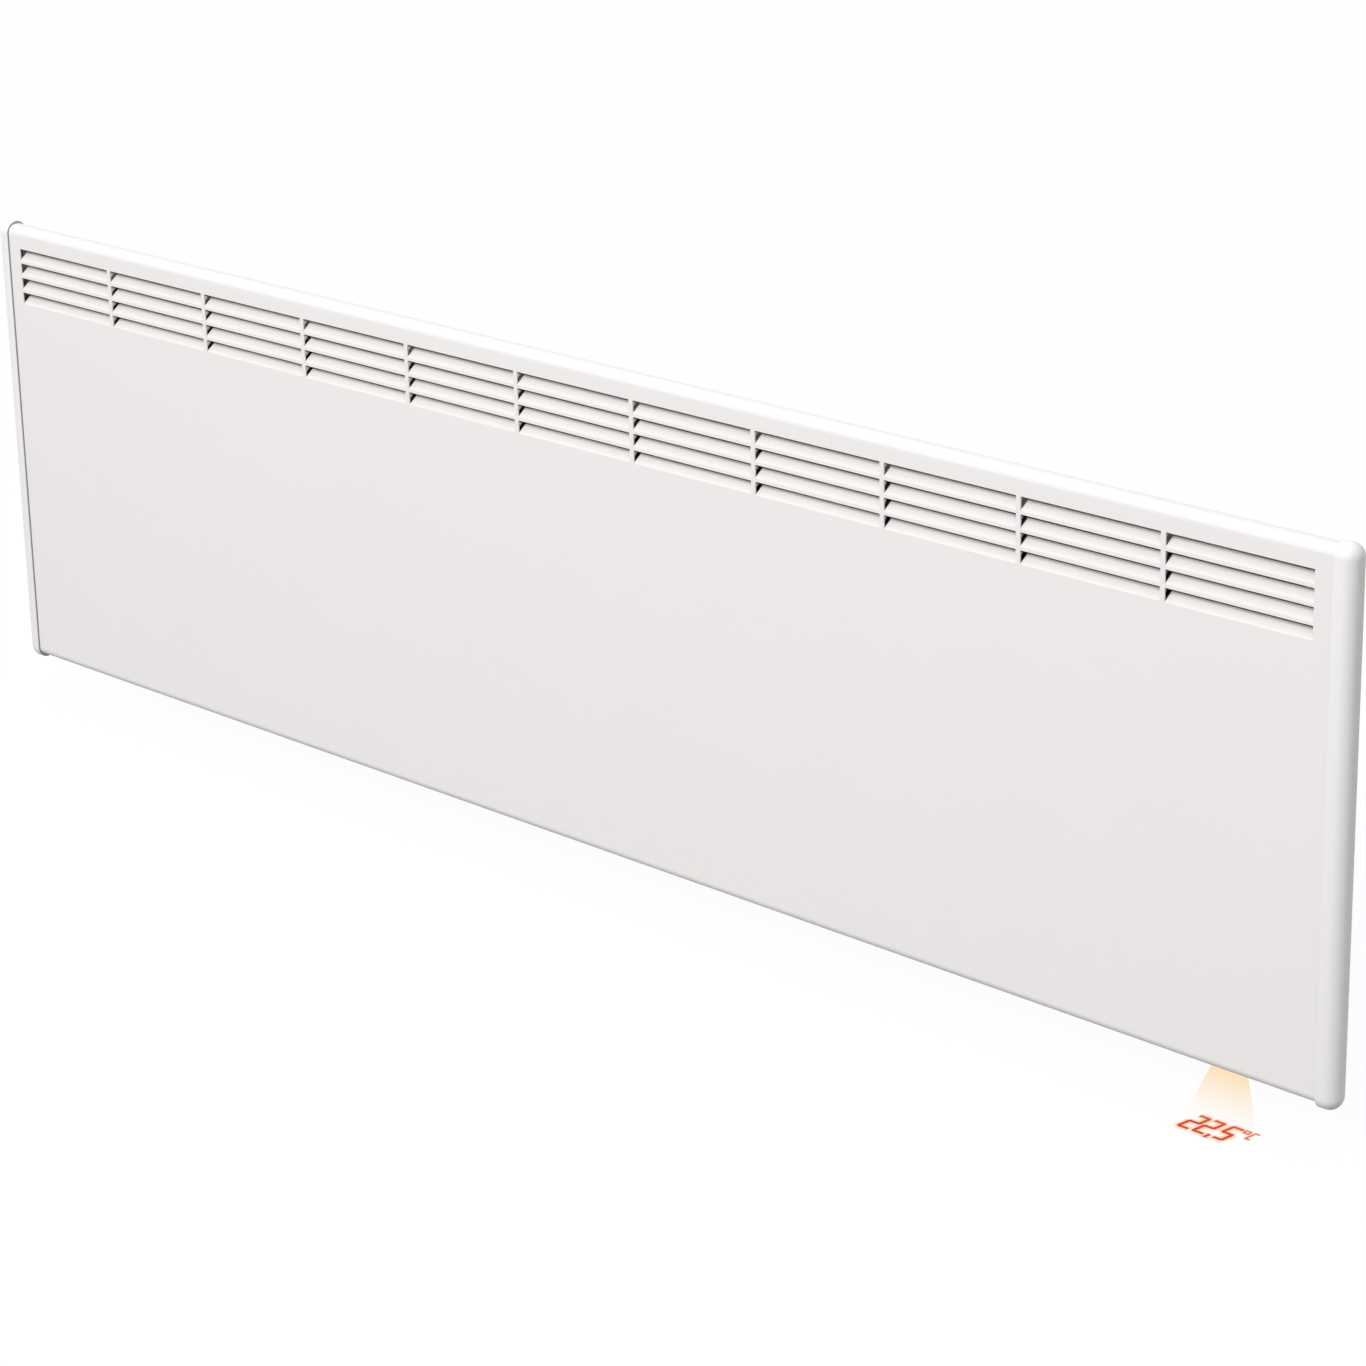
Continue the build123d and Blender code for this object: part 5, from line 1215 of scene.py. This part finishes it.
# Rows of the beam between the lens and the floor: height and depth in mm, its left and right
# edges in mm from the lens, and its strength
FAN_ROWS = (
    (-184.0, -66.6, -19.3, 4.8, 0.65),
    (-189.3, -69.6, -22.0, 6.8, 0.95),
    (-201.0, -78.0, -24.2, 16.6, 0.5),
    (-213.5, -87.1, -25.8, 26.3, 0.1),
)
FAN_TOP = (-5.0, 5.0)
FAN_FOOT = (-26.5, 32.0)


def stage_material(name):
    """Empty node material for the stage, with its tree."""
    material = bpy.data.materials.new(name)
    material.use_nodes = True
    material.node_tree.nodes.clear()
    return material, material.node_tree


def seen_directly(tree):
    """1 for camera, glossy and transmission rays."""
    rays = add_node(tree, "ShaderNodeLightPath")
    return calc(tree, rays["Is Camera Ray"], "max", rays["Is Glossy Ray"],
                "max", rays["Is Transmission Ray"])


def mix_shaders(tree, share, first, second):
    """Shader between two others."""
    return add_node(tree, "ShaderNodeMixShader", {0: share, 1: first, 2: second})[0]


def glow(tree, colour):
    """Light of one colour from the surface itself."""
    return add_node(tree, "ShaderNodeEmission", {"Color": four(colour), "Strength": 1.0})[0]


def floor_material(shadow):
    """White floor that keeps a faint shadow, lights the heater softly and hides from below."""
    material, tree = stage_material("White Floor")
    catcher = add_node(tree, "ShaderNodeBsdfDiffuse", {"Color": WHITE})[0]
    bounce = add_node(tree, "ShaderNodeBsdfDiffuse", {"Color": FLOOR_BOUNCE})[0]
    shown = mix_shaders(tree, 1 - shadow, catcher, glow(tree, WHITE))
    above = mix_shaders(tree, seen_directly(tree), bounce, shown)
    below = add_node(tree, "ShaderNodeNewGeometry")["Backfacing"]
    both = mix_shaders(tree, below, above, add_node(tree, "ShaderNodeBsdfTransparent")[0])
    add_node(tree, "ShaderNodeOutputMaterial", {"Surface": both})
    return material


def light_material(name, colour, share=None):
    """Tinted light over what is behind it, seen from one side, that throws no shadow.

    Its share of what is seen comes from the attribute "strength" where none is given.
    """
    material, tree = stage_material(name)
    through = add_node(tree, "ShaderNodeBsdfTransparent")[0]
    camera = add_node(tree, "ShaderNodeLightPath")["Is Camera Ray"]
    back = add_node(tree, "ShaderNodeNewGeometry")["Backfacing"]
    shown = calc(tree, camera, "-", back, clamp=True)
    if share is None:
        share = add_node(tree, "ShaderNodeAttribute", attribute_name="strength")["Fac"]
    mixed = mix_shaders(tree, calc(tree, shown, "*", share), through, glow(tree, colour))
    add_node(tree, "ShaderNodeOutputMaterial", {"Surface": mixed})
    return material


def stage_object(name, bm, material):
    """Object of the stage with one material."""
    obj = object_from(name, bm, material)
    obj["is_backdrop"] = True
    return obj


def add_floor(stage, level):
    """Large floor at a level."""
    bm = bmesh.new()
    bmesh.ops.create_grid(bm, x_segments=1, y_segments=1, size=FLOOR_HALF_SIZE,
                          matrix=Matrix.Translation((0, 0, level)))
    stage_object("floor", bm, floor_material(stage.shadow))


def add_light(stage):
    """Even light from all sides, a white background and the large soft key light."""
    world = bpy.data.worlds.new("Studio")
    bpy.context.scene.world = world
    world.use_nodes = True
    tree = world.node_tree
    tree.nodes.clear()
    even, white = (add_node(tree, "ShaderNodeBackground", {"Color": WHITE, "Strength": strength})[0]
                   for strength in (stage.ambient, 1.0))
    both = mix_shaders(tree, seen_directly(tree), even, white)
    add_node(tree, "ShaderNodeOutputWorld", {"Surface": both})

    lamp = bpy.data.lights.new("key", "AREA")
    lamp.shape = "DISK"
    lamp.size = KEY_SIZE
    lamp.energy = stage.key
    key = bpy.data.objects.new("key", lamp)
    bpy.context.scene.collection.objects.link(key)
    key.location = KEY_PLACE
    key.rotation_euler = (-Vector(KEY_PLACE)).to_track_quat("-Z", "Y").to_euler()


def add_camera(scene):
    """Camera at the place, turn, tilt and roll that the photograph was fitted with."""
    ahead = Vector((-math.sin(CAMERA_TURN) * math.cos(CAMERA_TILT),
                    math.cos(CAMERA_TURN) * math.cos(CAMERA_TILT), -math.sin(CAMERA_TILT)))
    level_right = Vector((math.cos(CAMERA_TURN), math.sin(CAMERA_TURN), 0))
    level_up = level_right.cross(ahead)
    right = math.cos(CAMERA_ROLL) * level_right + math.sin(CAMERA_ROLL) * level_up
    up = -math.sin(CAMERA_ROLL) * level_right + math.cos(CAMERA_ROLL) * level_up
    camera = bpy.data.objects.new("camera", bpy.data.cameras.new("camera"))
    scene.collection.objects.link(camera)
    camera.data.lens = CAMERA_LENS
    camera.data.sensor_width = CAMERA_SENSOR
    camera.data.clip_end = CAMERA_FAR
    axes = Matrix((right, up, -ahead)).transposed().to_4x4()
    camera.matrix_world = Matrix.Translation(CAMERA_PLACE) @ axes
    scene.camera = camera
    scene.view_settings.view_transform = "Standard"


def stroke_mesh(strokes, middle, width):
    """Flat bars of one width along strokes about a middle."""
    bm = bmesh.new()
    for stroke in strokes:
        points = [middle + Vector((right, back, 0)) * MM for right, back in stroke]
        for start, end in zip(points, points[1:]):
            along = (end - start).normalized()
            side = Vector((-along.y, along.x, 0)) * width / 2
            past = along * width * STROKE_END
            bm.faces.new([bm.verts.new(place) for place in (
                start - past - side, end + past - side, end + past + side, start - past + side)])
    return bm


def add_readout(middle, colour):
    """Projected digits on the floor, each line over two or one wider and fainter halos."""
    layers = ((DIGIT_STROKES, 9.0, 0.2, HALO_COLOUR), (DIGIT_STROKES, 5.6, 0.46, HALO_COLOUR),
              (UNIT_STROKES, 4.0, 0.36, HALO_COLOUR), (DIGIT_STROKES, 2.6, 0.96, colour),
              (UNIT_STROKES, 1.4, 0.9, colour))
    for index, (strokes, width, share, tint) in enumerate(layers):
        lifted = middle + Vector((0, 0, (index + 1) * LAYER_STEP))
        digits = stage_object(f"readout_{index}", stroke_mesh(strokes, lifted, width * MM),
                              light_material(f"Readout {index}", tint, share))
        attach(digits, "heater")


def add_fan(lens_low, lens, middle):
    """Beam of light from the lens to the readout."""
    rows = [(lens_low.z, lens.y, *FAN_TOP, 0.0)]
    rows += [(z * MM, y * MM, left, right, share) for z, y, left, right, share in FAN_ROWS]
    rows.append((middle.z, middle.y, *FAN_FOOT, 0.0))
    bm = bmesh.new()
    strength = bm.verts.layers.float.new("strength")
    pairs = []
    for z, y, left, right, share in rows:
        pair = [bm.verts.new((lens.x + offset * MM, y, z)) for offset in (left, right)]
        for vert in pair:
            vert[strength] = share
        pairs.append(pair)
    for above, below in zip(pairs, pairs[1:]):
        bm.faces.new((above[0], below[0], below[1], above[1]))
    fan = stage_object("light_fan", bm, light_material("Light Fan", FAN_COLOUR))
    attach(fan, "heater")


class HEATER_OT_stage(bpy.types.Operator):
    """Set up the floor, the lights, the camera and the projected readout"""
    bl_idname = "heater.stage"
    bl_label = "Stage"

    def execute(self, context):
        stage = context.scene.heater_stage
        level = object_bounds()[0].z - stage.floor_drop
        add_floor(stage, level)
        add_light(stage)
        add_camera(context.scene)
        low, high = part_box("readout_lens")
        lens = (low + high) / 2
        middle = Vector((lens.x, lens.y - READOUT_THROW, level))
        add_readout(middle, context.scene.heater_colours.readout)
        add_fan(low, lens, middle)
        return {"FINISHED"}


# ---- Add-on

class HEATER_PT_sidebar(bpy.types.Panel):
    bl_idname = "HEATER_PT_sidebar"
    bl_label = "Convector Heater"
    bl_space_type = "VIEW_3D"
    bl_region_type = "UI"
    bl_category = "Heater"

    def draw(self, context):
        for name in GROUPS:
            group = getattr(context.scene, name)
            box = self.layout.box()
            for label in group.bl_rna.properties.keys():
                if label not in ("rna_type", "name"):
                    box.prop(group, label)
        for operator in OPERATORS:
            self.layout.operator(operator.bl_idname)


GROUPS = {
    "heater_panel": PanelSizes,
    "heater_louvres": LouvreSizes,
    "heater_caps": CapSizes,
    "heater_colours": FinishColours,
    "heater_stage": StageSettings,
}
OPERATORS = (
    HEATER_OT_finishes,
    HEATER_OT_front_panel,
    HEATER_OT_end_caps,
    HEATER_OT_casing,
    HEATER_OT_screws,
    HEATER_OT_rivets,
    HEATER_OT_bracket,
    HEATER_OT_hinge,
    HEATER_OT_controls,
    HEATER_OT_stage,
)
CLASSES = (*GROUPS.values(), *OPERATORS, HEATER_PT_sidebar)


def register():
    for cls in CLASSES:
        bpy.utils.register_class(cls)
    for label, group in GROUPS.items():
        setattr(bpy.types.Scene, label, PointerProperty(type=group))


def unregister():
    for label in GROUPS:
        delattr(bpy.types.Scene, label)
    for cls in reversed(CLASSES):
        bpy.utils.unregister_class(cls)


def main():
    """Register the add-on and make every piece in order."""
    register()
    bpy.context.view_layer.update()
    bpy.ops.heater.finishes()
    bpy.ops.heater.front_panel()
    bpy.ops.heater.end_caps()
    bpy.ops.heater.casing()
    bpy.ops.heater.screws()
    bpy.ops.heater.rivets()
    bpy.ops.heater.bracket()
    bpy.ops.heater.hinge()
    bpy.ops.heater.controls()
    bpy.ops.heater.stage()


if __name__ == "__main__":
    main()
